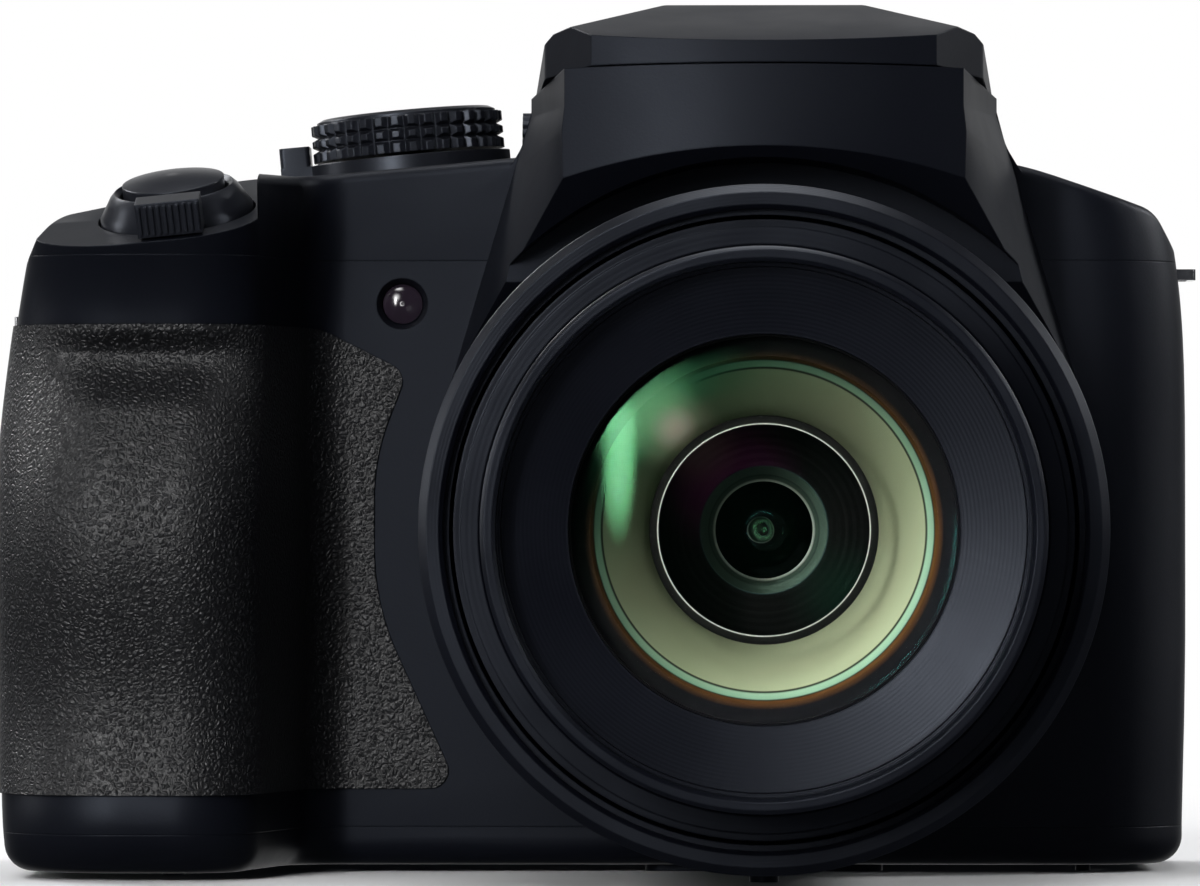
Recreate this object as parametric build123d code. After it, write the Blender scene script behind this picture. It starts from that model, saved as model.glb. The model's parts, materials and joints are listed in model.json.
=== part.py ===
from build123d import *
import os
from math import cos, radians, sin, sqrt, tan

# Bridge camera, in millimetres. +Z is up, the camera looks along -Y and +X is to the right of
# someone who faces its lens. The origin is the mouth of the tripod socket, on the rest plane.

# Fits
slip_gap = 0.3
press_gap = 0.15
seat_gap = 0.05
overrun = 20.0

# Body
body_width = 128.8
lens_to_side = 46.4
body_depth = 40.0
front_reach = 12.0
base_height = 0.8
lens_axis_height = 37.4
hump_rise = 27.5
wall = 2.0
base_round = 3.0
deck_round = 1.2
rear_seam = 6.0
top_seam = 66.8
hump_top = top_seam + hump_rise
base_seam = 5.0
side_left = lens_to_side - body_width
side_right = lens_to_side
face_front = -front_reach
face_back = body_depth - front_reach
cavity_bottom = base_height + wall

# Grip column: how far it stands forward, and its width at the front
grip_reach = 40.2
grip_flat = 26.9
grip_flare = 6.0
grip_outer_round = 14.0
grip_inner_round = 9.0
valley_round = 5.0
front_corner = 10.0
back_corner = 8.0
grip_side = side_left + grip_flat

# Moulded outline at each height: the height, how far each side is drawn in, and how far the
# grip falls back, all as shares of the body's height, its width and the grip's reach.
loft_rise = 13.2
loft_height = top_seam + loft_rise
level_shares = (
    (0.0100, 0.0061, 0.092, 0.0031),
    (0.175, 0.0015, 0.032, 0.0015),
    (0.350, 0.0, 0.0, 0.0),
    (0.540, 0.0015, 0.0, 0.0),
    (0.690, 0.0080, 0.125, 0.0010),
    (0.840, 0.0260, 0.050, 0.0085),
    (1.000, 0.0660, 0.104, 0.0384),
)

# Deck, seen from the front
deck_left_rise = 4.4
deck_step_rise = 8.5
deck_right_rise = 5.6
deck_edge_left = top_seam + deck_left_rise
deck_step_height = top_seam + deck_step_rise
deck_edge_right = top_seam + deck_right_rise
deck_left_inset = 6.0
deck_right_inset = 3.7
deck_step = 58.0
shoulder_drop = 14.0
shoulder_spread = 8.0
deck_corner = 4.0
hump_half = 25.4
hump_foot = 29.4
deck_tilt = 5.2
deck_height = deck_step_height + (deck_step - hump_half) * tan(radians(deck_tilt))

# Hump over the lens: the prow in front, the flash lid on top, the viewfinder behind
prow_reach = 40.6
prow_half = 20.6
prow_underside_drop = 16.1
prow_underside = hump_top - prow_underside_drop
prow_foot_half = 34.0
prow_foot_height = 54.0
prow_bow = 60.0
lid_seam_front_drop = 7.4
lid_seam_front = hump_top - lid_seam_front_drop
lid_seam_back_drop = 11.4
lid_seam_back = hump_top - lid_seam_back_drop
hinge_y = 6.0
hinge_drop = 4.3
lid_wall = 1.8
viewfinder_front = 10.9
viewfinder_drop = 2.7
viewfinder_top = hump_top - viewfinder_drop
viewfinder_back_drop = 5.7
viewfinder_top_back = hump_top - viewfinder_back_drop
viewfinder_shoulder_drop = 11.3
viewfinder_shoulder = hump_top - viewfinder_shoulder_drop

# Lens: radii of the nested tubes and where each one ends, measured forward of the socket
barrel_radius = 36.0
undercut_gap = 3.6
undercut_radius = barrel_radius + undercut_gap
undercut_front = 24.0
barrel_front = 60.0
trim_depth = 10.0
trim_lip = 2.6
trim_mouth_radius = barrel_radius - trim_lip
housing_wall = 3.2
housing_bore = barrel_radius - housing_wall
tail_radius = 24.0
barrel_fit = 0.4
middle_radius = housing_bore - barrel_fit
middle_front = 58.4
middle_length = 42.0
tube_step = 3.3
front_barrel_radius = middle_radius - tube_step
front_barrel_front = 75.0
front_barrel_length = 44.0
filter_wall = 1.6
filter_radius = front_barrel_radius - filter_wall
barrel_wall = 1.6
name_ring_recess = 4.6
name_ring_width = 7.4
name_ring_inner = filter_radius - name_ring_width
glass_inset = 0.2
glass_radius = name_ring_inner - glass_inset
glass_crown = 2.6
glass_edge = 4.2
baffle_rim = 2.3
baffle_mouth = glass_radius - baffle_rim
baffle_throat = 11.3
baffle_depth = 9.0
sensor_y = 6.4

# Grip deck: the sloped plate with the shutter release
shutter_x = -63.1
shutter_y = -28.0
shutter_rise = 0.2
shutter_z = deck_edge_left + shutter_rise
shutter_lean = 16.0
shutter_roll = 6.0
grip_deck_edge = -54.1
grip_deck_back = -13.5
shutter_place = Pos(
    shutter_x, shutter_y, shutter_z,
) * Rot(shutter_lean, 0, 0) * Rot(0, -shutter_roll, 0)

# Mode dial place on the tilted deck
dial_x = -39.3
dial_y = 8.0
dial_turret_height = 2.0
dial_turret_radius = 10.0
dial_z = deck_height - (-hump_half - dial_x) * tan(radians(deck_tilt)) - press_gap
dial_place = Pos(dial_x, dial_y, dial_z) * Rot(0, -deck_tilt, 0)

# Hollow of the body and of the grip
cavity_left = grip_side + grip_flare / 2
cavity_right = side_right - wall
cavity_front = face_front + wall
cavity_back = face_back - wall
grip_cavity_left = side_left + wall + deck_round
grip_cavity_front = -(grip_reach - grip_inner_round)
grip_cavity_top = 62.0
cavity_corner = 4.0
grip_cavity_round = 10.0

# Flash block under the lid
flash_half = 15.0
flash_front = 36.0
flash_back = 26.0
flash_floor_drop = 14.1
flash_floor = hump_top - flash_floor_drop
flash_window_size = 7.0
flash_window_half = 12.0
flash_window_thickness = 1.2
flash_tube_radius = 1.3
hinge_z = hump_top - hinge_drop
pin_radius = 1.0
lug_half_width = 2.0
lug_x = 12.0
lug_radius = 2.2

# Lens mouth in the front cover
lens_hole_radius = barrel_radius + slip_gap

# Grip skin outline, seen from the front
skin_proud = 0.35
skin_depth = 0.9
skin_drop = 7.4
skin_top = top_seam - skin_drop
skin_bottom = 9.2
skin_left = side_left - overrun
skin_back = rear_seam - wall
skin_waist = -42.6

# Assist lamp in its dish
lamp_x = -39.5
lamp_drop = 4.7
lamp_z = top_seam - lamp_drop
lamp_ring = 2.2
lamp_dish = 3.4
lamp_depth = 1.1
lamp_bow = 0.5

# Battery, card and the door under them
battery_width = 20.5
battery_depth = 35.6
battery_height = 42.6
battery_left = -77.5
battery_front = -24.0
battery_floor = 3.1
tray_wall = 0.9
card_thickness = 2.1
card_depth = 24.0
card_length = 32.0
card_front = -9.0
door_thickness = 1.6
door_reach = 6.0
door_hinge_x = -50.6
door_hinge_z = 2.2
door_hinge_front = -6.0
door_hinge_back = 14.0
door_knuckle = 1.3
door_pin_radius = 0.6
latch_travel = 2.0
hinge_side_gaps = 5
card_left = battery_left + battery_width + 0.8 * card_thickness

# Feet and tripod pad
pad_half = 13.0
pad_front = 7.0
pad_back = 24.0
socket_radius = 5.0
socket_depth = 6.6
screw_radius = 3.175
screw_depth = 5.6
pips = ((35.0, -4.4, 0.8),)
door_pip = (-64.0, -19.0, 1.2)
lens_pip_y = -38.0
lens_pip_radius = 1.55

# Lens details
trim_bevel = 0.9
name_ring_steps = 22
name_ring_step_depth = 0.05
name_ring_land_share = 0.72
lens_throat = 12.0
rod_radius = 1.0
rod_place = 17.0
rod_front = 52.5
zoom_front = 34.0
zoom_depth = 8.0
zoom_cell_radius = 20.0
zoom_glass_radius = 5.9
zoom_glass_crown = 1.2
iris_depth = 1.2
iris_opening = 3.6
rear_glass_depth = 3.0
sensor_half_width = 6.0
sensor_half_height = 5.0
sensor_thickness = 1.4
bracket_half = 15.0
bracket_thickness = 1.5

# Boards behind the lens
chassis_front = 11.0
chassis_thickness = 1.0
chassis_half_height = 30.0
board_thickness = 1.2
chip_height = 1.4
chassis_left = -48.0
chassis_right = 42.0
chassis_post_radius = 2.2
chips = (
    (-14.0, 46.0, 7.0), (12.0, 48.0, 5.0), (22.0, 24.0, 6.0), (-30.0, 22.0, 4.0),
    (-32.0, 54.0, 3.5),
)

# Door latch
latch_length = 6.0
latch_width = 2.2
latch_height = 1.2
latch_y = 14.6
latch_reach = 1.2

# Controls on the top
lever_outer = 8.25
lever_inner = 5.9
lever_height = 3.0
lever_base = 1.2
lever_skirt = 0.4
lever_slant = 1.3
tab_half = 3.45
tab_front = 10.8
tab_back = 7.4
tab_height = 4.0
tab_ribs = 10
tab_rib_depth = 0.35
shutter_recess = 1.5
shutter_radius = 5.5
shutter_height = 4.4
shutter_crown = 0.7
shutter_stem = 2.0
dial_radius = 10.65
dial_low = 2.3
dial_high = 7.0
dial_stem = 2.5
dial_teeth = 36
dial_rows = 3
dial_tooth = 0.7
dial_cap_inset = 1.3
lever_tab_reach = 14.3
lever_tab_half = 3.0
lever_tab_height = 4.2
lever_ring = 0.9
top_buttons = {"movie_button": (-64.0, -3.0, 2.8)}
button_proud = 0.8
button_flange = 0.7
tooth_flank_share = 0.3
lever_ring_lift = 0.35

# Controls on the back
rear_dial_x = -57.0
rear_dial_y = 22.0
rear_dial_z = 64.4
rear_dial_radius = 7.6
rear_dial_half = 1.7
rear_dial_pin = 1.0
rear_buttons = {
    "viewfinder_button": (-30.4, 61.0, 2.6),
    "lock_button": (-38.0, 61.0, 2.6),
    "playback_button": (-36.0, 46.0, 2.6),
    "quick_menu_button": (-31.5, 10.0, 2.6),
    "display_button": (-54.0, 10.0, 2.6),
    "cursor_pad": (-43.0, 27.0, 9.0),
}
set_radius = 3.6
thumb_low = 38.0
thumb_high = 59.0
thumb_right = -50.0
thumb_left = -80.0
thumb_depth = 1.0
monitor_left = -24.0
monitor_right = 42.0
monitor_low = 8.0
monitor_high = 58.0
monitor_lip = 1.6
monitor_glass_depth = 1.0
panel_depth = 3.4

# Flash lid and reflector
lid_nose_drop = 5.4
lid_nose_height = hump_top - lid_nose_drop
lid_flat_front = 20.0
lid_flat_half = 10.6
lid_corner = 23.6
lid_corner_drop = 4.7
lid_corner_height = hump_top - lid_corner_drop
lid_nose_half = 16.0
lid_shoulder_front = 27.0
lid_room_back = 2.0
flash_nose_drop = 9.1
flash_block_nose = hump_top - flash_nose_drop
lid_pin_half = 18.0
reflector_depth = 4.6
reflector_mouth = 4.4
reflector_wall = 0.4

# Viewfinder with its dial, and the flash switch beside it
viewfinder_half = 11.0
eyecup_half_width = 18.0
eyecup_low_drop = 23.5
eyecup_low = hump_top - eyecup_low_drop
eyecup_high = viewfinder_top
eyecup_depth = 16.2
eyecup_wall = 3.4
eyepiece_thickness = 2.0
display_half_width = 6.0
display_height = 9.0
display_thickness = 1.6
diopter_radius = 3.4
diopter_y = 20.0
diopter_drop = 13.3
diopter_z = hump_top - diopter_drop
diopter_thickness = 1.7
switch_y = 18.0
switch_drop = 8.3
switch_z = hump_top - switch_drop
switch_travel = 2.0
diopter_seat = 1.2
diopter_teeth = 18
switch_half = 3.0
switch_half_height = 1.4

# Side door and sockets
terminal_front = 9.0
terminal_back = 19.0
terminal_low = 20.0
terminal_high = 48.0
terminal_thickness = 1.2
terminal_knuckle = 0.8
socket_wall = 0.5
sockets = ((24.5, 7.6, 2.6), (36.0, 11.2, 3.2), (44.0, 3.6, 3.6))

# Strap lugs
lug_wire = 0.6
lug_loop_half = 3.4
lug_left_z = 60.4
lug_right_z = 65.6
lug_y = 4.0
lug_proud = 1.9
lug_root = 1.6
lug_rim = 0.9
lug_left_inset = 1.3
lug_right_inset = 0.6

# Screws of the bottom cover
screw_places = ((-44.0, 22.0), (36.0, 22.0), (36.0, -2.0), (-46.0, -5.0))
screw_head = 1.7
screw_shank = 0.9
screw_length = 3.0


def filled(points, radii):
    """A closed outline with rounded corners."""
    return make_face(FilletPolyline(*points, radius=radii, close=True))


def front_prism(outline, y_front, y_back):
    """An outline drawn as (x, z), carried from front to back."""
    return extrude(Plane.XZ.offset(-y_back) * outline, amount=y_back - y_front)


def side_prism(outline, x_low, x_high):
    """An outline drawn as (y, z), carried from left to right."""
    return extrude(Plane.YZ.offset(x_low) * outline, amount=x_high - x_low)


def plan_prism(outline, z_low, z_high):
    """An outline drawn as (x, y), carried upwards."""
    return extrude(Pos(0, 0, z_low) * outline, amount=z_high - z_low)


def block(x_low, x_high, y_low, y_high, z_low, z_high):
    size = Box(x_high - x_low, y_high - y_low, z_high - z_low)
    return Pos((x_low + x_high) / 2, (y_low + y_high) / 2, (z_low + z_high) / 2) * size


def turned(points):
    """A ring about the lens axis from points given as (radius, distance forward)."""
    section = make_face(Polyline(*[(r, -y) for r, y in points], close=True))
    return Pos(0, 0, lens_axis_height) * revolve(section, Axis.Y)


def crown_arc(radius, rim, crown):
    """A round crown over the axis: an arc from the rim to its top, as (radius, distance forward)."""
    sphere = (radius**2 + crown**2) / (2 * crown)
    middle = rim + crown - sphere + sqrt(sphere**2 - radius**2 / 4)
    return ThreePointArc((radius, -rim), (radius / 2, -middle), (0, -(rim + crown)))


def upright(points):
    """A ring about the vertical from points given as (radius, height)."""
    section = make_face(Plane.XZ * Polyline(*points, close=True))
    return revolve(section, Axis.Z)


def rod(radius, x, z, y_front, y_back):
    """A round bar that points from front to back."""
    return Pos(x, (y_front + y_back) / 2, z) * Rot(90, 0, 0) * Cylinder(radius, y_back - y_front)


def cross_rod(radius, y, z, x_low, x_high):
    """A round bar that points from left to right."""
    return Pos((x_low + x_high) / 2, y, z) * Rot(0, 90, 0) * Cylinder(radius, x_high - x_low)


def post(radius, x, y, z_low, z_high):
    return Pos(x, y, (z_low + z_high) / 2) * Cylinder(radius, z_high - z_low)


# Body envelope, shared by the covers and the grip skin
def body_section(level, swell):
    """The moulded plan outline at one level, drawn outwards by swell."""
    height_share, side_share, grip_share, right_share = level
    left = side_left + body_width * side_share - swell
    right = side_right - body_width * right_share + swell
    grip_front = -grip_reach * (1 - grip_share) - swell
    outer_round = grip_outer_round - body_width * side_share
    outline = filled(
        [
            (left, face_back + swell),
            (left, grip_front),
            (grip_side + swell, grip_front),
            (grip_side + grip_flare + swell, face_front - swell),
            (right, face_front - swell),
            (right, face_back + swell),
        ],
        [back_corner, outer_round, grip_inner_round, valley_round, front_corner, back_corner],
    )
    return Pos(0, 0, loft_height * height_share) * outline


def deck_outline():
    """The deck's line from the front: the left shoulder, the step, the deck and the right slope."""
    left, right = side_left + deck_left_inset, side_right - deck_right_inset
    points = [
        (left - overrun, -overrun),
        (left - overrun, deck_edge_left - shoulder_drop),
        (left - shoulder_spread, deck_edge_left - shoulder_drop),
        (left, deck_edge_left),
        (-deck_step, deck_step_height),
        (-hump_half, deck_height),
        (hump_half, deck_height),
        (right, deck_edge_right),
        (right + shoulder_spread, deck_edge_right - shoulder_drop),
        (right + overrun, deck_edge_right - shoulder_drop),
        (right + overrun, -overrun),
    ]
    radii = [0, 0, 0, deck_corner, grip_reach, grip_reach, grip_reach, deck_corner, 0, 0, 0]
    return filled(points, radii)


def outer_rim(solid):
    """The edge loop where the top faces of the deck meet the sides."""
    seen = {}
    for face in solid.faces():
        if face.normal_at().Z > sin(radians(deck_tilt)) * 2 and face.center().Z > top_seam - overrun:
            for edge in face.edges():
                key = tuple(round(value, 3) for value in (*edge.center(), edge.length))
                seen.setdefault(key, []).append(edge)
    return [edges[0] for edges in seen.values() if len(edges) == 1]


def body_form():
    """The whole moulded body without the hump: a loft, cut by the deck, with its edges rounded."""
    form = loft([body_section(level, 0) for level in level_shares])
    form = fillet(form.faces().sort_by(Axis.Z)[0].edges(), base_round)
    form = form & front_prism(deck_outline(), -grip_reach - overrun, face_back + overrun)
    return fillet(outer_rim(form), deck_round)


def body_hollow():
    """Room inside the covers: the body behind the lens, and the grip."""
    body = plan_prism(
        filled(
            [
                (cavity_left, cavity_front),
                (cavity_right, cavity_front),
                (cavity_right, cavity_back),
                (cavity_left, cavity_back),
            ],
            [0, front_corner - wall, cavity_corner, 0],
        ),
        cavity_bottom,
        top_seam + wall,
    )
    grip = plan_prism(
        filled(
            [
                (grip_cavity_left, grip_cavity_front),
                (grip_side - wall, grip_cavity_front),
                (cavity_left, cavity_front),
                (cavity_left, cavity_back),
                (grip_cavity_left, cavity_back),
            ],
            [grip_cavity_round, grip_inner_round - wall, 0, 0, cavity_corner],
        ),
        cavity_bottom,
        grip_cavity_top,
    )
    shoulder = block(grip_cavity_left + 3 * wall, cavity_left, grip_deck_back + wall, cavity_back,
                     cavity_bottom, top_seam + wall)
    return body + grip + shoulder


def bow():
    """The forward curve that the prow and the lid share."""
    return post(prow_bow, 0, prow_bow - prow_reach, -overrun, hump_top + overrun)


def above_lid_seam():
    """Everything over the sloping seam in front of the hinge, and the hinge's own space."""
    rise = (lid_seam_front - lid_seam_back) / (prow_reach + hinge_y)
    top = hump_top + overrun
    outline = filled(
        [
            (-prow_reach - overrun, lid_seam_front + rise * overrun),
            (hinge_y + slip_gap, lid_seam_back - rise * slip_gap),
            (hinge_y + slip_gap, hinge_z),
            (viewfinder_front, hinge_z),
            (viewfinder_front, top),
            (-prow_reach - overrun, top),
        ],
        0,
    )
    return side_prism(outline, -body_width, body_width)


def prow():
    """The hump's front with its two flanks, which run down beside the lens: a loft between two outlines."""
    head = lid_seam_front + wall
    cheek = (prow_underside + lid_seam_back) / 2
    root = Plane.XZ.offset(-face_front) * Polygon(
        (-hump_half, head), (-hump_half, cheek + wall), (-hump_half - wall, prow_underside - wall),
        (-prow_foot_half, prow_foot_height), (prow_foot_half, prow_foot_height),
        (hump_half + wall, prow_underside - wall), (hump_half, cheek + wall), (hump_half, head),
        align=None,
    )
    nose = Plane.XZ.offset(prow_reach) * Polygon(
        (-prow_half, head), (-prow_half, cheek + wall), (-prow_half, cheek),
        (-prow_half + deck_round, prow_underside), (prow_half - deck_round, prow_underside),
        (prow_half, cheek), (prow_half, cheek + wall), (prow_half, head),
        align=None,
    )
    form = loft([root, nose], ruled=True) & bow()
    undercut = rod(undercut_radius, 0, lens_axis_height, -prow_reach - overrun, -undercut_front)
    return form - undercut - above_lid_seam()


def flash_pocket():
    """The well in the prow that the flash block sinks into."""
    return block(-flash_half - wall / 2, flash_half + wall / 2, -flash_front - wall / 2,
                 face_front + wall / 2, flash_floor - slip_gap, hump_top)


def lens_hole():
    barrel = rod(lens_hole_radius, 0, lens_axis_height, -prow_reach - overrun, face_front)
    return barrel + rod(
        tail_radius + seat_gap, 0, lens_axis_height, face_front - wall, cavity_front + wall,
    )


def grip_deck_cut():
    """What lies over the sloped plate around the shutter release."""
    slab = shutter_place * Pos(0, 0, overrun) * Box(body_width, body_width, 2 * overrun)
    region = block(side_left - overrun, grip_deck_edge, -grip_reach - overrun, grip_deck_back,
                   top_seam - overrun, hump_top)
    return slab & region


def skin_outline():
    """The rubber's edge: level along the top, a point by the lamp, then hollow beside the barrel."""
    edge = skin_waist
    outline = [
        (skin_left, skin_top),
        (edge - 3.0 * wall, skin_top),
        (edge + 1.8 * wall, skin_top - 2.4 * wall),
        (edge, lens_axis_height + 4.0 * wall),
        (edge, lens_axis_height - 4.0 * wall),
        (edge + 4.6 * wall, skin_bottom),
        (skin_left, skin_bottom),
    ]
    return filled(outline, [0, 3 * wall, wall, 12 * wall, 14 * wall, wall, 0])


def door_outline(gap):
    """The door's own outline, drawn inwards by gap."""
    left = battery_left - tray_wall + gap
    right = card_left + card_thickness + tray_wall - hinge_side_gaps * gap
    front = battery_front - door_reach + gap
    points = [
        (left, battery_front + battery_depth + door_reach - gap),
        (left, front + door_reach),
        (left + door_reach, front),
        (grip_side - door_reach, front),
        (grip_side - press_gap - hinge_side_gaps / 2 * gap, battery_front - tray_wall + gap),
        (right, card_front + gap),
        (right, battery_front + battery_depth + door_reach - gap),
    ]
    return Polygon(*points, align=None)


def door_opening():
    """The hole in the base for the door, with the pocket for its hinge."""
    reach = door_knuckle + slip_gap
    hinge = block(card_left, door_hinge_x + reach + slip_gap, door_hinge_front - slip_gap,
                  door_hinge_back + slip_gap, -overrun, base_seam)
    return plan_prism(door_outline(0), -overrun, cavity_bottom + wall) + hinge


def front_cover(form):
    """Front shell with the grip, the prow and the lens hole."""
    region = block(-body_width, body_width, -grip_reach - overrun, rear_seam, base_seam, top_seam)
    shell = (form & region) - body_hollow()
    shell = shell + prow()
    shell = shell - lens_hole() - flash_pocket() - grip_skin_room()
    dish = Pos(lamp_x, face_front, lamp_z) * Rot(90, 0, 0) * Cone(lamp_ring, lamp_dish, 2 * lamp_depth)
    shell = shell - dish - rod(lamp_ring, lamp_x, lamp_z, face_front - lamp_depth, cavity_front + wall)
    stem = shutter_place * Cylinder(shutter_stem + press_gap, 2 * overrun)
    return shell - stem - strap_lug_room()


def grip_skin_room():
    """The shallow bed that the skin is glued into."""
    region = front_prism(skin_outline(), -grip_reach - overrun, skin_back)
    swollen = loft([body_section(level, -skin_depth) for level in level_shares])
    return region - swollen


def grip_skin(form):
    """Rubber skin: the band between two offsets of the moulded outline."""
    region = front_prism(skin_outline(), -grip_reach - overrun, skin_back)
    outside = loft([body_section(level, skin_proud) for level in level_shares])
    inside = loft([body_section(level, -skin_depth) for level in level_shares])
    return (outside & region) - inside


def rear_cover(form):
    """Rear shell with the monitor window, the thumb rest bed and the button holes."""
    region = block(-body_width, body_width, rear_seam, face_back + overrun, base_seam, top_seam)
    shell = (form & region) - body_hollow()
    shelf = block(
        rear_dial_x - rear_dial_radius, rear_dial_x + rear_dial_radius, cavity_back - wall * 6,
        cavity_back + wall / 2, rear_dial_z - 2 * wall, rear_dial_z - wall,
    )
    shell = shell + (shelf & form)
    shell = shell - monitor_room() - thumb_rest_room() - rear_dial_room()
    for x, z, radius in rear_buttons.values():
        shell = shell - rod(radius + press_gap, x, z, cavity_back - wall, face_back + overrun)
    return shell - terminal_room() - strap_lug_room()


def top_cover(form):
    """Deck and viewfinder hump in one moulding."""
    region = block(
        -body_width, body_width, -grip_reach - overrun, face_back + overrun, top_seam, hump_top,
    )
    deck = (form & region) - body_hollow() - grip_deck_cut()
    roof = deck_height - wall
    foot = [
        (-hump_foot, roof - wall), (-hump_half - wall / 2, deck_height + wall / 2),
        (-hump_half, viewfinder_shoulder), (-hump_half + wall, viewfinder_top - wall),
        (-hump_half + 4 * wall, viewfinder_top), (hump_half - 4 * wall, viewfinder_top),
        (hump_half - wall, viewfinder_top - wall), (hump_half, viewfinder_shoulder),
        (hump_half + wall / 2, deck_height + wall / 2), (hump_foot, roof - wall),
    ]
    hump = front_prism(filled(foot, [0, 3 * wall, wall, wall, wall, wall, wall, wall, 3 * wall, 0]),
                       face_front, face_back)
    over = side_prism(
        Polygon(
            (viewfinder_front, viewfinder_top), (face_back, viewfinder_top_back),
            (face_back + overrun, viewfinder_top_back),
            (face_back + overrun, hump_top + overrun), (viewfinder_front, hump_top + overrun),
            align=None,
        ),
        -body_width, body_width,
    )
    hump = hump - above_lid_seam() - over - cross_rod(
        hinge_drop + slip_gap, hinge_y, hinge_z, -body_width, body_width,
    )
    room = block(-viewfinder_half, viewfinder_half, viewfinder_front + wall, face_back + overrun,
                 top_seam + 3 * wall, viewfinder_top_back - wall)
    under = block(-hump_half + wall, hump_half - wall, cavity_front, viewfinder_front,
                  top_seam - wall, lid_seam_back - 2 * wall)
    cover = deck + hump - room - under
    for side in (-1, 1):
        lug = block(side * lug_x - lug_half_width, side * lug_x + lug_half_width, hinge_y - lug_radius,
                    hinge_y + lug_radius, lid_seam_back - wall, hinge_z)
        lug = lug + cross_rod(lug_radius, hinge_y, hinge_z, side * lug_x - lug_half_width,
                              side * lug_x + lug_half_width)
        cover = cover + lug
    cover = cover - cross_rod(pin_radius, hinge_y, hinge_z, -hump_half, hump_half)
    turret = dial_place * upright([(0, -wall), (dial_turret_radius, -wall),
                                   (dial_turret_radius, dial_turret_height),
                                   (0, dial_turret_height)])
    cover = cover + turret - dial_place * Cylinder(dial_stem + seat_gap, 4 * overrun)
    cover = cover - shutter_place * upright([
        (0, -shutter_recess), (lever_outer + slip_gap, -shutter_recess),
        (lever_outer + slip_gap, overrun), (0, overrun),
    ])
    cover = cover - shutter_place * Cylinder(shutter_stem + press_gap, 2 * overrun)
    for x, y, radius in top_buttons.values():
        cover = cover - post(radius + press_gap, x, y, top_seam - wall, hump_top)
    return cover - diopter_room() - flash_switch_room() - eyecup_room()


def bottom_cover(form):
    """Base plate with the tripod pad and the opening for the battery door."""
    region = block(
        -body_width, body_width, -grip_reach - overrun, face_back + overrun, -overrun, base_seam,
    )
    plate = (form & region) - body_hollow()
    pad = plan_prism(filled([(-pad_half, -pad_front), (pad_half, -pad_front), (pad_half, pad_back),
                             (-pad_half, pad_back)], wall), 0, base_height + wall / 2)
    boss = post(socket_radius + wall, 0, 0, base_height, socket_depth + wall / 2)
    plate = plate + pad + boss - door_opening() - door_pin_room()
    return plate - post(socket_radius, 0, 0, -overrun, socket_depth)


# Lens
def lens_housing():
    """Fixed barrel: a stepped tube with a spigot for the trim ring and a rear wall for the sensor."""
    spigot = trim_mouth_radius + barrel_wall
    shoulder = barrel_front - trim_depth
    mouth = barrel_front - barrel_wall
    back = front_reach + seat_gap
    tail = -(sensor_y - wall)
    return turned([
        (barrel_radius, back), (barrel_radius, shoulder), (spigot, shoulder), (spigot, mouth),
        (housing_bore, mouth), (housing_bore, back + wall), (tail_radius - wall, back + wall),
        (tail_radius - wall, tail + wall), (lens_throat, tail + wall), (lens_throat, tail),
        (tail_radius, tail), (tail_radius, back),
    ]) - guide_rods(seat_gap)


def lens_trim_ring():
    """Wide ring pressed over the mouth of the fixed barrel, with a bright bevel."""
    spigot = trim_mouth_radius + barrel_wall + seat_gap
    bevel = trim_bevel
    return turned([
        (spigot, barrel_front - trim_depth + seat_gap),
        (barrel_radius, barrel_front - trim_depth + seat_gap),
        (barrel_radius, barrel_front - bevel), (barrel_radius - bevel, barrel_front),
        (trim_mouth_radius + bevel / 2, barrel_front),
        (trim_mouth_radius, barrel_front - bevel / 2),
        (trim_mouth_radius, barrel_front - barrel_wall + seat_gap),
        (spigot, barrel_front - barrel_wall + seat_gap),
    ])


def middle_barrel():
    """First sliding tube, with a stepped lip at its mouth."""
    mouth = front_barrel_radius + slip_gap
    inner = middle_radius - barrel_wall
    back = middle_front - middle_length
    lip = middle_front - 2 * barrel_wall
    return turned([
        (middle_radius, back), (middle_radius, middle_front - barrel_wall / 2),
        (middle_radius - barrel_wall / 2, middle_front - barrel_wall / 2),
        (middle_radius - barrel_wall / 2, middle_front),
        (mouth + barrel_wall / 4, middle_front), (mouth, middle_front - barrel_wall / 4),
        (mouth, lip), (inner, lip), (inner, back),
    ])


def front_barrel():
    """Second sliding tube: the filter thread at its mouth, a seat for the name ring behind."""
    bevel = barrel_wall / 4
    face = front_barrel_front - name_ring_recess
    seat = face - barrel_wall
    back = front_barrel_front - front_barrel_length
    bore = filter_radius - barrel_wall / 2
    ring_bore = filter_radius - barrel_wall / 4
    return turned([
        (front_barrel_radius, back), (front_barrel_radius, front_barrel_front - bevel),
        (front_barrel_radius - bevel, front_barrel_front), (filter_radius + bevel, front_barrel_front),
        (filter_radius, front_barrel_front - bevel), (filter_radius, face), (ring_bore, face),
        (ring_bore, seat), (bore, seat), (bore, back),
    ])


def name_ring():
    """Ring behind the filter thread with fine concentric steps that fall towards the glass."""
    face = front_barrel_front - name_ring_recess
    outer = filter_radius - barrel_wall / 4 - seat_gap
    step = (outer - name_ring_inner) / name_ring_steps
    points = [(outer, face - barrel_wall)]
    for index in range(name_ring_steps):
        height = face - index * name_ring_step_depth
        points += [
            (outer - index * step, height),
            (outer - (index + name_ring_land_share) * step, height),
        ]
    return turned(points + [(name_ring_inner, face - barrel_wall)])


def front_lens():
    """Front glass: a crowned face, a ground edge and a hollow back."""
    rim = front_barrel_front - name_ring_recess - glass_crown - seat_gap
    face = crown_arc(glass_radius, rim, glass_crown)
    hollow = crown_arc(glass_radius, rim - glass_edge, glass_crown / 2)
    edge = Line((glass_radius, -rim), (glass_radius, glass_edge - rim))
    axis = Line((0, glass_edge - rim - glass_crown / 2), (0, -rim - glass_crown))
    section = make_face([face, edge, hollow, axis])
    return Pos(0, 0, lens_axis_height) * revolve(section, Axis.Y)


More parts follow.
